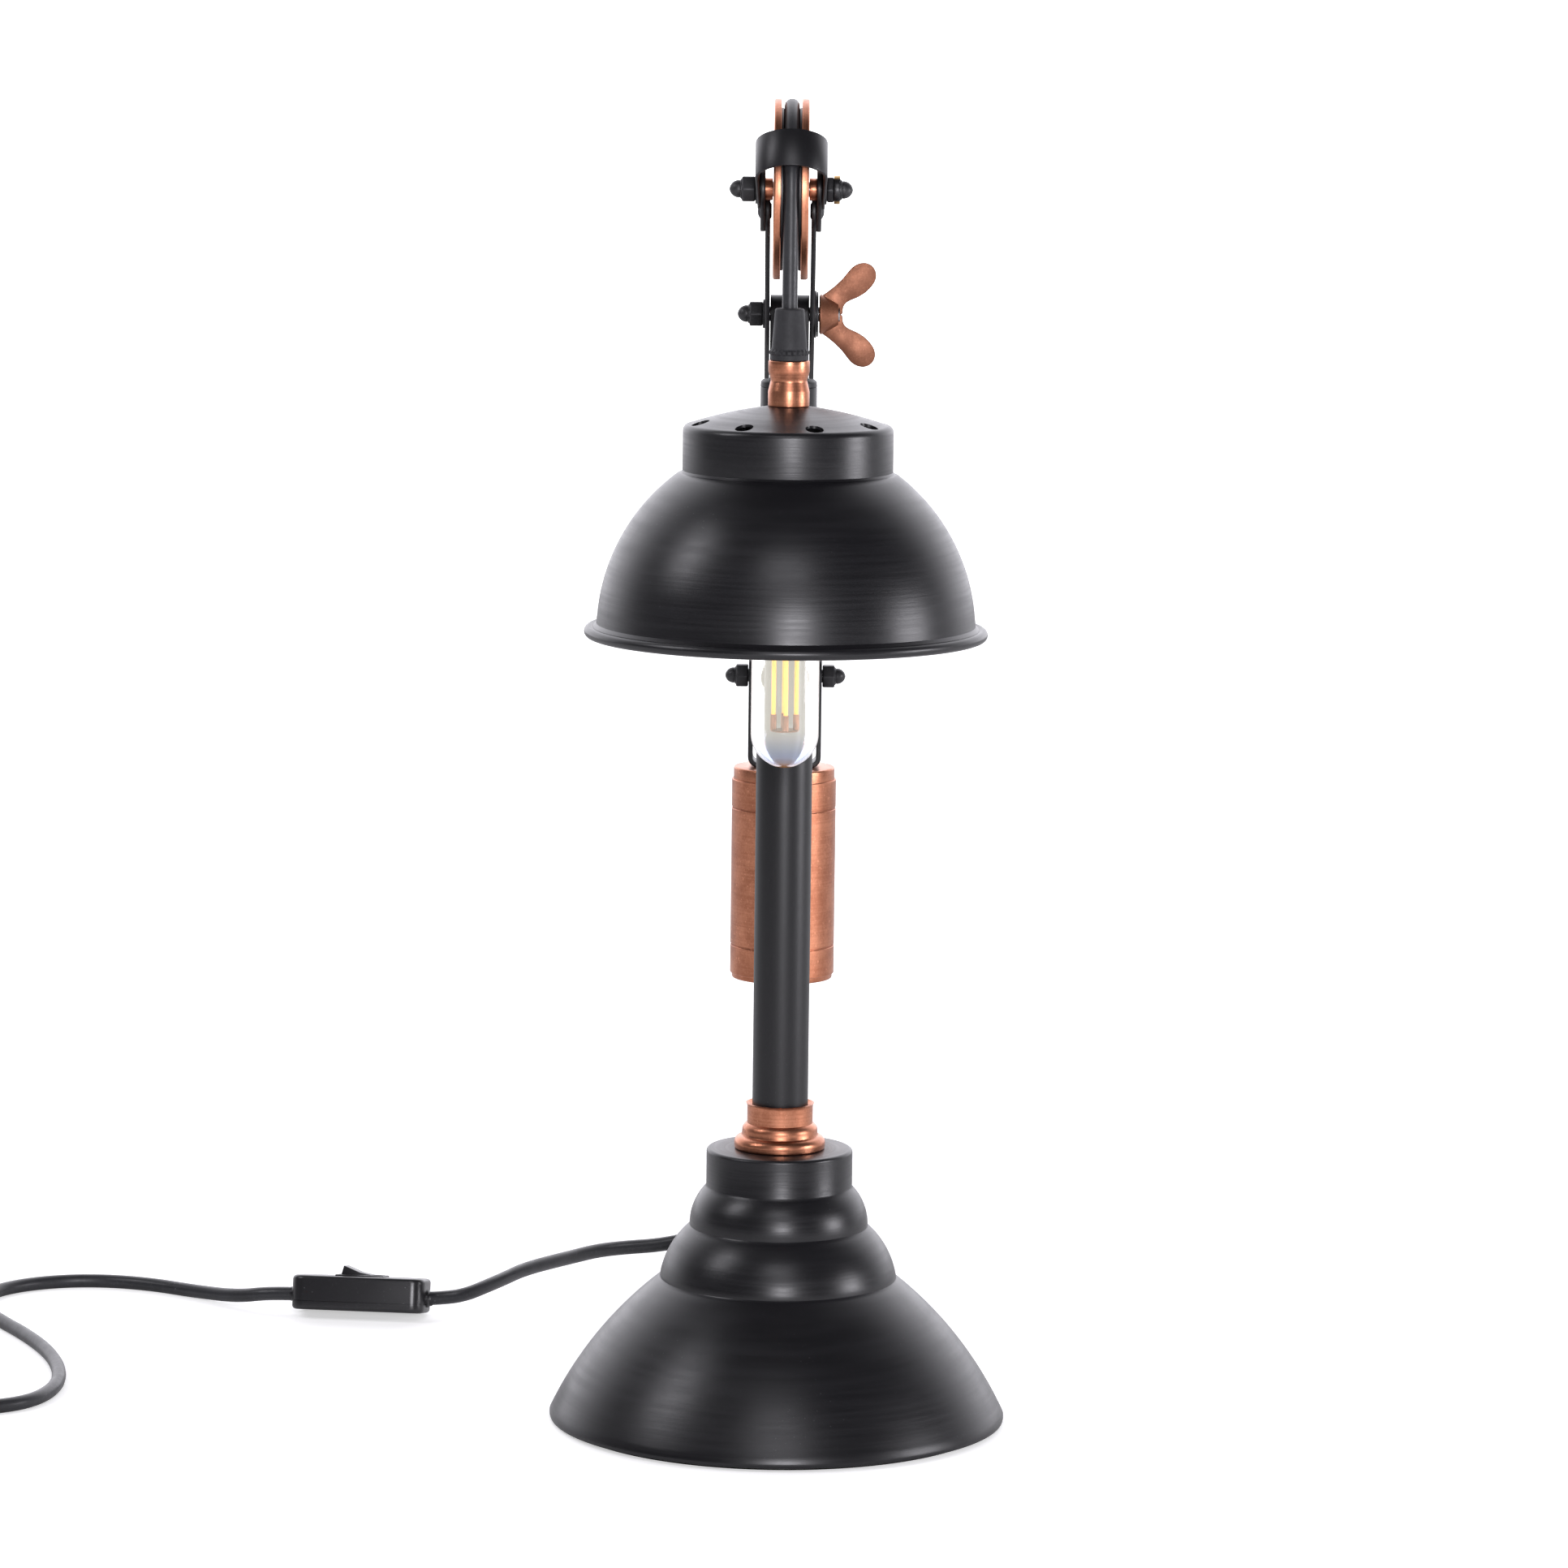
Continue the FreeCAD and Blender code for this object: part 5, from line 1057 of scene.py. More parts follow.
@dataclass
class LampBase:
    """The spun bell of the base, its pad and its weight."""

    rim_r: float = 96.8
    pad_t: float = 1.5
    collar_r: float = 31.0

    def outside(self) -> list[Ring]:
        """The outline of the three tiers, from the rim to the top."""
        skirt = bow((self.rim_r, 3.6), (78.6, 33.4), (51.6, 60.9), 22)
        middle = bow((50.2, 63.0), (46.8, 73.2), (39.2, 83.2), 12)
        high = bow((37.9, 85.4), (36.4, 93.1), (32.0, 100.3), 10)
        top, edge = BASE_TOP_Z, 1.5
        return ([(self.rim_r - 1.2, self.pad_t), (self.rim_r - 0.2, self.pad_t + 0.3),
                 (self.rim_r, self.pad_t + 1.0), (self.rim_r, 3.6)] + skirt
                + [(50.6, 61.5), (50.2, 62.1), (50.2, 63.0)] + middle
                + [(38.3, 83.9), (37.9, 84.5), (37.9, 85.4)] + high
                + [(31.3, 101.1), (self.collar_r, 101.9), (self.collar_r, top - edge)]
                + bow((self.collar_r, top - edge), (self.collar_r - 0.44, top - 0.44),
                      (self.collar_r - edge, top), 5))

    def build(self) -> None:
        """Makes the shell and dresses the pad, the weight and the nut under it."""
        rings = self.outside() + [(6.6, BASE_TOP_Z), (6.6, BASE_TOP_Z - 1.2)]
        inside = [(29.0, BASE_TOP_Z - 1.2), (29.8, 101.5)]
        inside += bow((30.4, 99.5), (35.2, 92.9), (36.7, 84.0), 5)
        inside += bow((37.7, 82.4), (45.6, 72.8), (49.0, 61.8), 6)
        inside += bow((50.1, 60.0), (77.4, 32.7), (95.6, 3.4), 12) + [(95.6, self.pad_t)]
        turned(rings + inside, Axis.UP, 0, steps=192).shown("base_bell", Body.BASE, BASE_BLACK,
                                                            "base_shell")
        for node, finish in (("base_pad", FELT), ("base_ballast", CAST_IRON),
                             ("stem_nipple", BOLT_STEEL), ("stem_lock_nut", BOLT_STEEL)):
            dress(node, finish)


def dress(node: str, finish: Finish) -> None:
    """Gives a piece of the drawing its finish, with its triangles welded and its edges sharper than 40
    degrees rounded.
    """
    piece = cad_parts[node]
    piece.data.materials.clear()
    piece.data.materials.append(finish.material())
    weld = piece.modifiers.new("Weld", "WELD")
    weld.merge_threshold = 0.00001
    bevel = piece.modifiers.new("Bevel", "BEVEL")
    bevel.width, bevel.segments, bevel.limit_method = 0.0002, 2, "ANGLE"
    bevel.angle_limit = math.radians(40.0)
    log.info("%s in %s", node, finish.slot)


@dataclass
class Stem:
    """The copper fitting, the pipe and the tongue at its top."""

    lip_z: float = 137.2

    def build(self) -> None:
        """Makes the three pieces and the small ones in them."""
        z = BASE_TOP_Z
        profile = [(6.6, z), (18.6, z), (19.2, z + 0.6), (19.3, z + 2.2)] \
            + bow((19.3, z + 2.2), (18.7, z + 4.3), (17.0, z + 5.5), 7) \
            + [(16.3, z + 5.7), (16.1, z + 6.1), (16.0, z + 7.8)] \
            + bow((16.0, z + 7.8), (15.5, z + 9.7), (14.3, z + 10.8), 6) \
            + [(13.95, z + 11.0), (13.95, self.lip_z - 1.6)] \
            + bow((13.95, self.lip_z - 1.6), (14.1, self.lip_z - 0.7), (14.5, self.lip_z), 4) \
            + [(13.9, self.lip_z + 0.1), (12.9, self.lip_z - 0.9), (11.85, self.lip_z - 1.6),
               (11.85, z + 4.0), (6.6, z + 4.0)]
        turned(profile, Axis.UP, 0).shown("fitting_copper", Body.BASE, FITTING_COPPER,
                                          "stem_fitting")
        pipe = turned([(10.3, z + 4.0), (STEM_R, z + 4.0), (STEM_R, STEM_TOP_Z),
                       (10.3, STEM_TOP_Z)], Axis.UP, 0,
                      rounds=[(STEM_R, STEM_TOP_Z, 0.4)])
        pipe.shown("stem_tube", Body.BASE, STEM_BLACK, "stem_pipe")
        self.head()
        for node, finish in (("stem_grub_screws", BOLT_STEEL), ("flex_grommet", RELIEF_RUBBER)):
            dress(node, finish)

    def head(self) -> None:
        """The collar on the pipe and the flat tongue with its round top."""
        top = STEM_TOP_Z
        collar = turned([(0, top - 8.0), (10.2, top - 8.0), (10.2, top), (STEM_R, top + 0.1),
                         (STEM_R, top + 2.2), (10.9, top + 3.0), (0, top + 3.0)], Axis.UP, 0,
                        rounds=[(STEM_R, top + 2.2, 0.3)])
        tongue = strip(PIVOT_Z - top - 2.0, 16.0, 16.2)
        everything = tongue.mesh.verts[:] + tongue.mesh.edges[:] + tongue.mesh.faces[:]
        bmesh.ops.bisect_plane(tongue.mesh, geom=everything, plane_co=(0, 0, 0),
                               plane_no=(-1, 0, 0), clear_outer=True)
        bmesh.ops.holes_fill(tongue.mesh, edges=tongue.mesh.edges)
        tongue.swing(-90, "Y").swing(90, "Z")
        tongue.move((0, 0, top + 2.0)).swing(90, "Z")
        collar.join(tongue).shown("stem_tongue", Body.BASE, STEM_BLACK, "stem_head")


def tipped(work: Workpiece) -> Workpiece:
    """Tips a piece made on a level arm to the slope of the arm."""
    return work.swing(-SLOPE, "X", (0, 0, PIVOT_Z))


@dataclass
class Arm:
    """The two bars, the cheeks at their front end and everything bolted to them."""

    bar_w: float = 17.0
    cheek_back: float = 16.0

    def plate(self, y0: float, y1: float, x0: float, x1: float) -> Workpiece:
        """A flat bar with round ends centred on y0 and y1, between x0 and x1."""
        work = strip(y1 - y0, self.bar_w, abs(x1 - x0), edge=0.35)
        work.swing(90, "Z").swing(90, "Y")
        return tipped(work.move(((x0 + x1) / 2, y0, PIVOT_Z)))

    def build(self) -> None:
        """Makes the bars, cheeks, strap, nuts, washers and spacers."""
        front = -FRONT_REACH + self.cheek_back
        for side, word in ((1, "right"), (-1, "left")):
            bar = self.plate(front, REAR_REACH, side * BAR_INNER, side * BAR_OUTER)
            bar.shown("bar_" + word, Body.ARM, ARM_BLACK, "arm_bar_" + word)
            cheek = self.plate(-FRONT_REACH, front, side * BAR_OUTER, side * CHEEK_OUT)
            cheek.shown("cheek_" + word, Body.ARM, ARM_BLACK, "pulley_cheek_" + word)
        self.rivets(front)
        self.axle()
        self.strap()
        self.pivot()
        self.rear()

    def rivets(self, front: float) -> None:
        """The rivets that hold the cheeks to the bars."""
        work = Workpiece()
        for side in (1, -1):
            out = side * CHEEK_OUT
            head = bow((3.4, out), (1.9, out + 0.9 * side), (0.0, out + 1.2 * side), 6)
            work.join(turned([(0, out - 1.0 * side), (3.4, out - 1.0 * side), (3.4, out)] + head,
                             Axis.ACROSS, front, PIVOT_Z, steps=40))
            inner = side * (BAR_INNER - 0.6)
            work.join(turned([(0, inner), (2.7, inner), (3.4, inner + 0.5 * side),
                              (3.4, inner + 1.0 * side), (0, inner + 1.0 * side)],
                             Axis.ACROSS, front, PIVOT_Z, steps=40))
        tipped(work).shown("rivet_heads", Body.ARM, NUT_BLACK, "cheek_rivets")

    def axle(self) -> None:
        """The pulley's bolt with its nuts, lock ring and spacers."""
        nuts = cap_nut(STRAP_OUT + 0.8, 1, AXLE_Y, AXLE_Z, groove=True)
        nuts.join(cap_nut(STRAP_OUT + 0.8, -1, AXLE_Y, AXLE_Z))
        for side in (1, -1):
            nuts.join(washer(side * STRAP_OUT, side * (STRAP_OUT + 0.8), 6.0, 3.0, AXLE_Y, AXLE_Z))
        nuts.shown("axle_nuts", Body.ARM, NUT_BLACK, "axle_cap_nuts")
        face = STRAP_OUT + 0.8 + 2.9
        washer(face, face + 2.4, 5.8, 4.3, AXLE_Y, AXLE_Z).shown(
            "axle_ring", Body.ARM, RING_BANDED, "axle_lock_ring")
        spacers = Workpiece()
        for side in (1, -1):
            spacers.join(washer(side * 7.4, side * BAR_OUTER, 4.5, 3.0, AXLE_Y, AXLE_Z))
        spacers.shown("axle_collars", Body.ARM, PULLEY_COPPER, "axle_spacers")
        dress("axle_bolt", BOLT_STEEL)

    def strap(self) -> None:
        """The flat strap bent in a U round the front of the pulley."""
        leg = 39.8 - CHEEK_OUT
        middle = (CHEEK_OUT + STRAP_OUT) / 2
        arc = math.pi * middle
        work = strip(2 * leg + arc, 16.0, STRAP_OUT - CHEEK_OUT, True, slices=1.6)
        bent(work, [(leg, 0.0), (arc, 180.0), (leg, 0.0)],
             lambda out, side, across: ((side - middle) * (1 + 0.068 * min(1.0, max(0.0, out / leg))),
                                        AXLE_Y - out, AXLE_Z + across))
        work.swing(-27.0, "X", AXLE)
        work.shown("strap_band", Body.ARM, ARM_BLACK, "keeper_strap")

    def pivot(self) -> None:
        """The clamping bolt's cap nut and washers."""
        left = BAR_OUTER + 0.8
        cap_nut(left, -1, 0, PIVOT_Z).shown("pivot_nut", Body.ARM, NUT_BLACK, "pivot_cap_nut")
        rings = washer(-left, -BAR_OUTER, 6.0, 3.0, 0, PIVOT_Z)
        for k in range(2):
            face = BAR_OUTER + 0.8 * k
            rings.join(washer(face, face + 0.74, 9.8 - 0.4 * k, 3.0, 0, PIVOT_Z))
        rings.shown("pivot_rings", Body.ARM, NUT_BLACK, "pivot_washers")
        dress("pivot_bolt", BOLT_STEEL)

    def rear(self) -> None:
        """The nuts and spacers on the bolt that carries the counterweight."""
        nuts = cap_nut(17.1, 1, REAR_Y, REAR_Z)
        nuts.join(cap_nut(17.1, -1, REAR_Y, REAR_Z))
        nuts.shown("rear_nuts", Body.ARM, NUT_BLACK, "rear_cap_nuts")
        tubes = washer(-BAR_INNER, BAR_INNER, 4.5, 3.0, REAR_Y, REAR_Z)
        for side in (1, -1):
            tubes.join(washer(side * BAR_OUTER, side * 14.3, 4.5, 3.0, REAR_Y, REAR_Z))
        tubes.shown("rear_tubes", Body.ARM, PULLEY_COPPER, "rear_spacers")
        dress("rear_bolt", BOLT_STEEL)


@dataclass
class Pulley:
    """Two copper discs on a black grooved core."""

    disc_r: float = 36.4
    core_half: float = 4.1
    disc_t: float = 3.0

    def build(self) -> None:
        """Makes the core and the discs."""
        groove = FLEX_R + 0.3
        mouth = math.sqrt(groove ** 2 - 0.64)
        floor = bow((32.8, mouth), (PITCH_R - groove, 0.0), (32.8, -mouth), 12)
        core = [(3.05, -self.core_half), (3.05, self.core_half), (32.8, self.core_half),
                (32.8, mouth)] + floor + [(32.8, -self.core_half)]
        turned(core, Axis.ACROSS, AXLE_Y, AXLE_Z).shown("pulley_hub", Body.PULLEY, ARM_BLACK,
                                                       "pulley_core")
        for side, word in ((1, "right"), (-1, "left")):
            inner, outer = side * self.core_half, side * (self.core_half + self.disc_t)
            r = self.disc_r
            rim = bow((r, outer - 0.8 * side), (r - 0.25, outer - 0.25 * side),
                      (r - 0.8, outer), 4)
            disc = [(3.05, inner), (r - 0.3, inner), (r, inner + 0.3 * side),
                    (r, outer - 0.8 * side)] + rim + [(3.05, outer)]
            turned(disc, Axis.ACROSS, AXLE_Y, AXLE_Z, steps=192).shown(
                "disc_" + word, Body.PULLEY, PULLEY_COPPER, "pulley_flange_" + word)


@dataclass
class WingNut:
    """The stamped copper wing nut that clamps the arm."""

    foot: float = 12.3
    sheet_t: float = 1.8

    def build(self) -> None:
        """Makes the hub and the two wings."""
        hub = turned([(3.05, self.foot), (7.7, self.foot), (8.3, self.foot + 0.5),
                      (8.3, self.foot + 1.0), (4.4, self.foot + 8.0), (3.05, self.foot + 8.0)],
                     Axis.ACROSS, 0, PIVOT_Z, steps=64)
        for way in (1, -1):
            hub.join(self.wing(way))
        hub.shown("wing_nut_copper", Body.WING_NUT, WING_COPPER, "wing_nut")

    def wing(self, way: int) -> Workpiece:
        """One wing: its waisted outline, risen to the sheet's thickness.

        Args:
            way: 1 for the upper wing and -1 for the lower.

        Returns:
            The workpiece.
        """
        outline = [(0.6, 0.0), (0.6, 7.6), (3.4, 9.5), (6.5, 12.0), (9.6, 15.0), (12.4, 18.6),
                   (14.2, 20.4), (16.4, 21.5), (19.0, 21.8), (21.4, 20.9), (23.1, 19.0),
                   (23.7, 16.4), (23.1, 14.0), (21.5, 11.6), (19.2, 9.3), (16.0, 7.3),
                   (12.6, 5.9), (10.8, 4.7), (9.9, 3.0), (9.7, 0.0)]
        work = Workpiece()
        corners = [work.mesh.verts.new((self.foot + a, -self.sheet_t / 2, PIVOT_Z + b * way))
                   for a, b in outline]
        work.mesh.faces.new(corners)
        risen = bmesh.ops.extrude_face_region(work.mesh, geom=list(work.mesh.faces))
        back = [item for item in risen["geom"] if isinstance(item, bmesh.types.BMVert)]
        bmesh.ops.translate(work.mesh, vec=(0, self.sheet_t, 0), verts=back)
        bmesh.ops.recalc_face_normals(work.mesh, faces=work.mesh.faces)
        work.round_off(lambda edge: abs((edge.verts[0].co - edge.verts[1].co).y) > 1
                       and min(v.co.x for v in edge.verts) > self.foot + 2.0, 0.8, 2)
        return work.soften(0.35, 2, 60.0)


@dataclass
class Counterweight:
    """The copper canister on its bail."""

    inner: float = 14.6
    thick: float = 2.2
    radius: float = 24.0
    drop: float = 42.0
    length: float = 98.5

    def build(self) -> None:
        """Makes the bail, the caps, the tube and the screw."""
        top = REAR_Z - self.drop
        self.bail()
        self.canister(top)
        head = bow((5.6, top + 2.2), (3.4, top + 4.3), (0.0, top + 5.2), 8)
        screw = turned([(0, top - 9.0), (3.0, top - 9.0), (3.0, top + 2.2),
                        (5.6, top + 2.2)] + head, Axis.UP, REAR_Y, steps=48)
        screw.shown("canister_screw", Body.WEIGHT, NUT_BLACK, "weight_screw")
        dress("weight_slug", CAST_IRON)

    def bail(self) -> None:
        """The strap that hangs the canister on the rear bolt."""
        corner = 5.0
        mid = self.inner + self.thick / 2
        bend = corner - self.thick / 2
        arc = math.pi / 2 * bend
        leg = self.drop - corner
        across = 2 * (mid - bend)
        work = strip(2 * leg + 2 * arc + across, 16.0, self.thick, True, slices=1.2)
        bent(work, [(leg, 0.0), (arc, 90.0), (across, 0.0), (arc, 90.0), (leg, 0.0)],
             lambda down, side, depth: (side - mid, REAR_Y + depth, REAR_Z - down))
        work.shown("bail_strap", Body.WEIGHT, ARM_BLACK, "weight_bail")

    def canister(self, top: float) -> None:
        """The two caps and the tube, with the seams between them."""
        r, low = self.radius, top - self.length
        wall = r - 1.5
        band = top - 5.6
        upper = [(3.0, top), (r - 1.6, top)] \
            + bow((r - 1.6, top), (r - 1.03, top - 0.23), (r - 0.8, top - 0.8), 3) \
            + [(r - 0.8, band), (r - 0.2, band), (r, band - 0.25), (r, band - 12.8),
               (r - 0.2, band - 13.0), (r - 0.7, band - 13.0), (r - 0.7, band - 13.6),
               (wall, band - 13.6), (wall, top - 3.0), (3.0, top - 3.0)]
        turned(upper, Axis.UP, REAR_Y).shown("canister_lid", Body.WEIGHT, WEIGHT_COPPER,
                                             "weight_cap_top")
        foot = low + 2.4
        lower = [(0, low), (r - 1.6, low)] \
            + bow((r - 1.6, low), (r - 1.03, low + 0.23), (r - 0.8, low + 0.8), 3) \
            + [(r - 0.8, foot), (r - 0.2, foot), (r, foot + 0.25), (r, foot + 12.8),
               (r - 0.2, foot + 13.0), (r - 0.7, foot + 13.0), (r - 0.7, foot + 13.6),
               (wall, foot + 13.6), (wall, low + 3.0), (0, low + 3.0)]
        turned(lower, Axis.UP, REAR_Y).shown("canister_foot", Body.WEIGHT, WEIGHT_COPPER,
                                             "weight_cap_low")
        tube = [(wall, foot + 13.6), (r - 0.2, foot + 13.6), (r, foot + 13.85),
                (r, band - 13.85), (r - 0.2, band - 13.6), (wall, band - 13.6)]
        turned(tube, Axis.UP, REAR_Y).shown("canister_tube", Body.WEIGHT, WEIGHT_COPPER,
                                            "weight_tube")


@dataclass
class Shade:
    """The spun shade, its neck and strain relief, the holder and the bulb."""

    neck_foot: float = NECK_FOOT_Z
    neck_top: float = 459.8
    lip_z: float = 462.0
    relief_top: float = 480.6
    collar_r: float = 42.3
    bell_h: float = 66.1
    wall: float = 1.0
    vents: int = 8

    def build(self) -> None:
        """Makes every piece that hangs on the flex."""
        self.shell()
        self.neck()
        self.relief()
        self.holder()
        self.bulb()

    def shell(self) -> None:
        """The spun shell with a rolled bead and vents."""
        top, collar = self.neck_foot, self.neck_foot - 7.2
        foot = collar - 20.0
        low = foot - self.bell_h
        bead = low + 2.3
        crown = bow((self.collar_r - 2.6, collar), (21.8, collar + 4.9), (8.8, top), 10)
        out = [(76.4, bead + 3.4), (76.0, foot - 56.9)] \
            + bow((76.0, foot - 56.9), (66.5, foot - 25.4), (44.4, foot), 26) \
            + [(43.0, foot + 0.5), (self.collar_r, foot + 1.4), (self.collar_r, collar - 2.6)] \
            + bow((self.collar_r, collar - 2.6), (self.collar_r - 0.76, collar - 0.76),
                  (self.collar_r - 2.6, collar), 5) + crown + [(5.1, top)]
        w = self.wall
        inside = [(5.1, top - w), (8.8, top - w)] \
            + bow((8.8, top - w), (21.8, collar + 4.9 - w), (self.collar_r - 3.0, collar - w), 8) \
            + [(self.collar_r - w, collar - 3.0), (self.collar_r - w, foot + 0.8)] \
            + bow((43.6, foot - 0.9), (65.5, foot - 26.0), (75.0, foot - 56.9), 18) \
            + [(75.4, bead)]
        roll = [(79.0 + 2.3 * math.cos(math.radians(a)), bead + 2.3 * math.sin(math.radians(a)))
                for a in range(-160, 121, 20)]
        work = turned(inside + roll + out, Axis.UP, HANG_Y, steps=192)
        piece = work.shown("shade_spinning", Body.SHADE, SHADE_BLACK, "shade_shell")
        self.drill(piece, collar)

    def drill(self, piece: bpy.types.Object, collar: float) -> None:
        """Cuts the vents through the crown with a ring of drills."""
        bits = Workpiece()
        for k in range(self.vents):
            turn = math.radians(16.5 + 360.0 / self.vents * k - 90)
            bit = turned([(0, collar - 8), (3.65, collar - 8), (3.65, collar + 8), (0, collar + 8)],
                         Axis.UP, 0, steps=32)
            bits.join(bit.move((36.6 * math.cos(turn), HANG_Y + 36.6 * math.sin(turn), 0)))
        cutter = bits.shown("drills", Body.SHADE, SHADE_BLACK)
        cut = piece.modifiers.new("Vents", "BOOLEAN")
        cut.object, cut.operation, cut.solver = cutter, "DIFFERENCE", "EXACT"
        bpy.context.view_layer.update()
        graph = bpy.context.evaluated_depsgraph_get()
        drilled = bpy.data.meshes.new_from_object(piece.evaluated_get(graph))
        piece.modifiers.clear()
        piece.data = drilled
        bpy.data.objects.remove(cutter)
        sharp = math.radians(32.0)
        work = Workpiece()
        work.mesh.from_mesh(drilled)
        for edge in work.mesh.edges:
            edge.smooth = len(edge.link_faces) == 2 and edge.calc_face_angle(0.0) < sharp
        work.mesh.to_mesh(drilled)
        work.mesh.free()

    def neck(self) -> None:
        """The copper neck with a waist, and the ring on it."""
        z0, z1 = self.neck_foot, self.neck_top
        mid = (z0 + z1) / 2 + 1.2
        profile = [(6.3, z0), (7.9, z0)] + bow((7.9, z0), (8.2, z0 + 0.2), (8.3, z0 + 0.6), 3) \
            + [(8.3, mid - 4.4)] + bow((8.3, mid - 4.4), (7.9, mid - 2.6), (7.3, mid), 6) \
            + bow((7.3, mid), (7.9, mid + 2.2), (8.3, mid + 3.6), 6) \
            + [(8.3, z1 - 0.6)] + bow((8.3, z1 - 0.6), (8.2, z1 - 0.2), (7.8, z1), 3) + [(6.3, z1)]
        turned(profile, Axis.UP, HANG_Y, steps=96).shown("neck_copper", Body.SHADE, NECK_COPPER,
                                                        "shade_neck")
        ring = turned([(3.1, z1), (7.3, z1), (7.5, z1 + 0.3), (7.5, self.lip_z),
                       (3.1, self.lip_z)], Axis.UP, HANG_Y, steps=96)
        ring.shown("neck_band", Body.SHADE, RELIEF_RUBBER, "neck_ring")

    def relief(self) -> None:
        """The rubber strain relief with its toothed lip."""
        z0, z1 = self.lip_z, self.relief_top
        body = [(3.1, z0 + 0.6), (7.4, z0 + 0.9), (7.1, z0 + 2.6), (5.9, z1 - 0.9)] \
            + bow((5.9, z1 - 0.9), (5.6, z1 - 0.2), (5.0, z1), 4) + [(3.1, z1)]
        work = turned(body, Axis.UP, HANG_Y, steps=96)
        lip = turned([(3.2, z0), (7.5, z0), (8.0, z0 + 0.4), (8.1, z0 + 1.5), (7.2, z0 + 2.3),
                      (3.2, z0 + 2.3)], Axis.UP, HANG_Y, steps=88)
        for vert in lip.mesh.verts:
            arm = vert.co.xy - Vector((0, HANG_Y))
            tooth = round(math.atan2(arm.y, arm.x) / math.tau * 88) % 4
            if arm.length > 7.9 and tooth == 0:
                vert.co.xy = Vector((0, HANG_Y)) + arm * (7.45 / arm.length)
        work.join(lip).shown("relief_rubber", Body.SHADE, RELIEF_RUBBER, "flex_relief")

    def holder(self) -> None:
        """The lamp holder inside the shade."""
        roof = self.neck_foot - self.wall - 3.0
        cap_low, low = roof - 14.0, roof - 48.0
        dress("holder_nipple", BOLT_STEEL)
        cap = [(5.0, roof), (8.5, roof)] \
            + bow((8.5, roof), (13.0, roof - 3.2), (14.2, cap_low + 3.0), 8) \
            + [(14.2, cap_low + 0.3), (13.9, cap_low), (5.0, cap_low)]
        turned(cap, Axis.UP, HANG_Y, steps=96).shown("holder_dome", Body.SHADE, MOULDED,
                                                     "holder_cap")
        grip = []
        for k in range(9):
            foot = cap_low - 3.0 - 3.2 * k
            grip += [(14.2, foot), (13.7, foot - 0.4), (13.7, foot - 1.2), (14.2, foot - 1.6)]
        barrel = [(6.95, cap_low), (13.9, cap_low), (14.2, cap_low - 0.4)] + grip \
            + [(14.2, low + 1.0), (13.2, low), (6.95, low)]
        turned(barrel, Axis.UP, HANG_Y, steps=96).shown("holder_sleeve", Body.SHADE, MOULDED,
                                                       "holder_barrel")

    def bulb(self) -> None:
        """The tubular bulb with four glowing sticks on their post."""
        holder_low = self.neck_foot - self.wall - 51.0
        tip = BULB_TIP_Z
        shoulder = holder_low - 14.0
        r, w = 13.7, 0.8

        def wall(inset: float) -> list[Ring]:
            """The glass's outline from its neck down to the tip, inset by a wall."""
            radius = r - inset
            rings = [(6.4 - inset, holder_low - 1.5)]
            rings += bow((6.4 - inset, holder_low - 1.5), (r * 0.86 - inset, shoulder + 3.6),
                         (radius, shoulder - 3.0), 10)
            rings += [(radius, tip + inset + 14.5)]
            rings += bow((radius, tip + inset + 14.5), (radius * 0.86, tip + inset + 6.9),
                         (radius * 0.5, tip + inset + 2.1), 12)
            rings += bow((radius * 0.5, tip + inset + 2.1), (radius * 0.27, tip + inset + 0.55),
                         (0.0, tip + inset), 8)
            return rings
        glass = [(6.4, holder_low + 2.0)] + wall(0.0) + list(reversed(wall(w))) \
            + [(5.6, holder_low + 2.0)]
        shape = turned(glass, Axis.UP, HANG_Y, steps=96)
        shape.shown("bulb_tube", Body.SHADE, BULB_GLASS, "bulb_glass")
        dress("bulb_cap", RING_BRASS)
        post_low = shoulder - 4.0
        stem = turned([(0, post_low), (1.4, post_low), (2.4, post_low + 3.0),
                       (4.8, holder_low + 1.6), (0, holder_low + 1.6)], Axis.UP, HANG_Y, steps=48)
        stem.shown("bulb_stem", Body.SHADE, BULB_STEM_GLASS, "bulb_post")
        self.sticks(post_low)

    def sticks(self, top: float) -> None:
        """The glowing sticks, the wires that hold them and their feet."""
        glow, wire = Workpiece(), Workpiece()
        low = BULB_TIP_Z + 15.5
        circle = 4.6
        for k in range(4):
            turn = math.radians(4 + 90 * k)
            spot = (circle * math.cos(turn), HANG_Y + circle * math.sin(turn), 0)
            rod = turned([(0, low + 6.0), (0.9, low + 6.0), (0.9, top - 3.0), (0, top - 3.0)],
                         Axis.UP, 0, steps=16)
            glow.join(rod.move(spot))
            foot = turned([(0, low), (1.3, low), (1.3, low + 6.2), (0, low + 6.2)],
                          Axis.UP, 0, steps=16)
            wire.join(foot.move(spot))
            tail = turned([(0, top - 3.1), (0.5, top - 3.1), (0.5, top + 0.5), (0, top + 0.5)],
                          Axis.UP, 0, steps=12)
            wire.join(tail.move(spot))
        for level in (low - 0.6, top - 0.4):
            wire.join(turned([(0, level), (5.6, level), (5.9, level + 0.3), (5.6, level + 0.6),
                              (0, level + 0.6)], Axis.UP, HANG_Y, steps=48))
        wire.join(turned([(0, low - 0.4), (0.5, low - 0.4), (0.5, top), (0, top)], Axis.UP,
                         HANG_Y, steps=16))
        glow.shown("glow_sticks", Body.SHADE, FILAMENT_GLOW)
        wire.shown("stick_wires", Body.SHADE, CONNECTOR, "bulb_filaments")


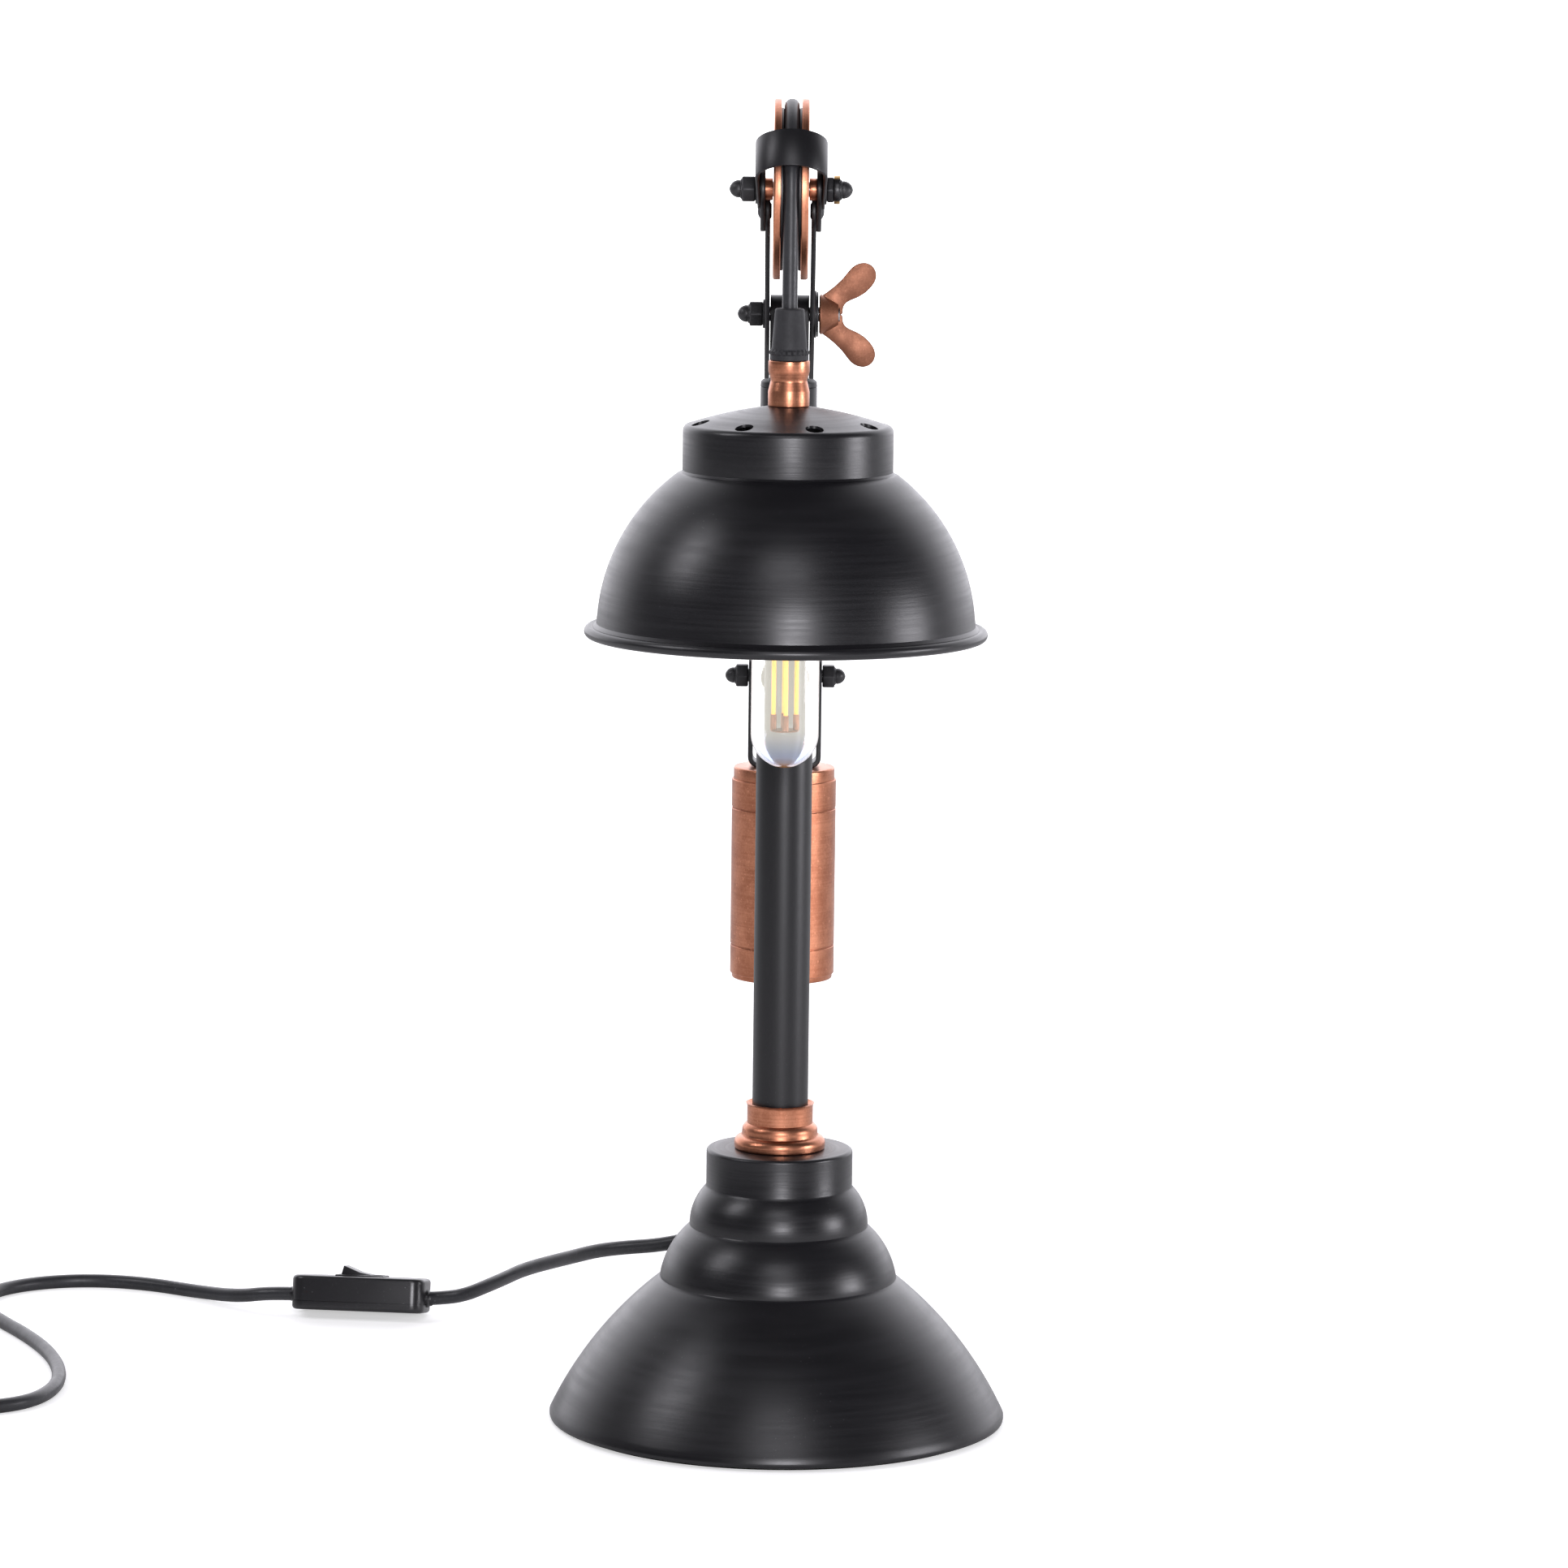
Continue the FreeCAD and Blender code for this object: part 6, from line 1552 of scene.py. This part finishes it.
@dataclass
class Flex:
    """The flex that carries the shade: over the pulley, behind the tongue, into the stem."""

    arc_points: int = 12
    extra: float = 45.0
    overlap: float = 35.0

    def on_pitch(self, degrees: float, x: float = 0.0) -> Point:
        """A point on the flex's line round the pulley; 0 degrees is its front."""
        turn = math.radians(degrees)
        return (x, AXLE_Y - PITCH_R * math.cos(turn), AXLE_Z + PITCH_R * math.sin(turn))

    def rod(self, name: str, points: Sequence[Point]) -> bpy.types.Object:
        """A round stretch of flex, turned from a curve into a mesh."""
        cord = cord_curve(name + "_line", points, FLEX_R)
        bpy.context.view_layer.update()
        graph = bpy.context.evaluated_depsgraph_get()
        data = bpy.data.meshes.new_from_object(cord.evaluated_get(graph))
        data.name = name
        data.shade_smooth()
        bpy.data.objects.remove(cord)
        made = bpy.data.objects.new(name, data)
        bpy.context.scene.collection.objects.link(made)
        return made

    def build(self) -> None:
        """Makes the stretches of flex; the shade's and the pulley's overlap round the pulley."""
        behind = Vector((0.0, 17.5, PIVOT_Z + 2.0))
        reach = math.hypot(behind.y - AXLE_Y, behind.z - AXLE_Z)
        down = math.atan2(AXLE_Z - behind.z, behind.y - AXLE_Y) + math.asin(PITCH_R / reach)
        leave = 90.0 + math.degrees(down)
        drop = [(0.0, HANG_Y, z) for z in (447.0, 465.0, 485.0, 505.0, AXLE_Z - 8.0)]
        drop += [self.on_pitch(self.extra * k / 6) for k in range(7)]
        settle(self.rod("shade_strand", drop), Body.SHADE, SHEATH, "flex_drop")
        spots = [self.on_pitch(self.overlap + (leave - self.overlap) * k / self.arc_points)
                 for k in range(self.arc_points + 1)]
        last = Vector(spots[-1])
        toward = (behind - last).normalized()
        span = (behind - last).length
        split = behind - toward * 24.0
        over = spots + [tuple(last + toward * span * share) for share in (0.15, 0.35, 0.55)]
        over += [tuple(split), tuple(split + toward * 6.0)]
        piece = self.rod("pulley_strand", over)
        settle(piece, Body.ARM, SHEATH, "flex_over_pulley")
        entry = Vector((0.0, STEM_R + 6.0, STEM_TOP_Z - 9.6))
        inside = Vector((0.0, 0.0, STEM_TOP_Z - 34.0))
        slack = self.rod("slack_strand", [
            tuple(split - toward * 4.0), tuple(split + toward * 12.0), tuple(behind),
            (0.0, 21.1, PIVOT_Z - 18.0), tuple(entry), tuple(entry.lerp(inside, 0.4))])
        slack.data.materials.append(SHEATH.material())
        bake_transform(slack)
        tail = [tuple(entry.lerp(inside, 0.25)), tuple(entry.lerp(inside, 0.6)), tuple(inside)]
        tail += [(0.0, 0.0, z) for z in (inside.z - 26.0, inside.z - 60.0, 200.0, 120.0, 86.0)]
        tail += [(-13.8, 19.7, 66.4), (-23.5, 33.6, 66.0)]
        settle(self.rod("stem_strand", tail), Body.BASE, SHEATH, "flex_in_stem")


def main() -> None:
    """Builds the lamp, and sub-assembly by sub-assembly."""
    logging.basicConfig(level=logging.INFO, format="%(name)s %(message)s")
    studio()
    lead = MainsLead()
    lead.lay()
    lead.declare(lead.gland(), lead.switch(), lead.plug())
    for part in (LampBase(), Stem(), Arm(), Pulley(), WingNut(), Counterweight(), Shade(), Flex()):
        part.build()
        log.info("%s built", type(part).__name__)


if __name__ == "__main__":
    main()
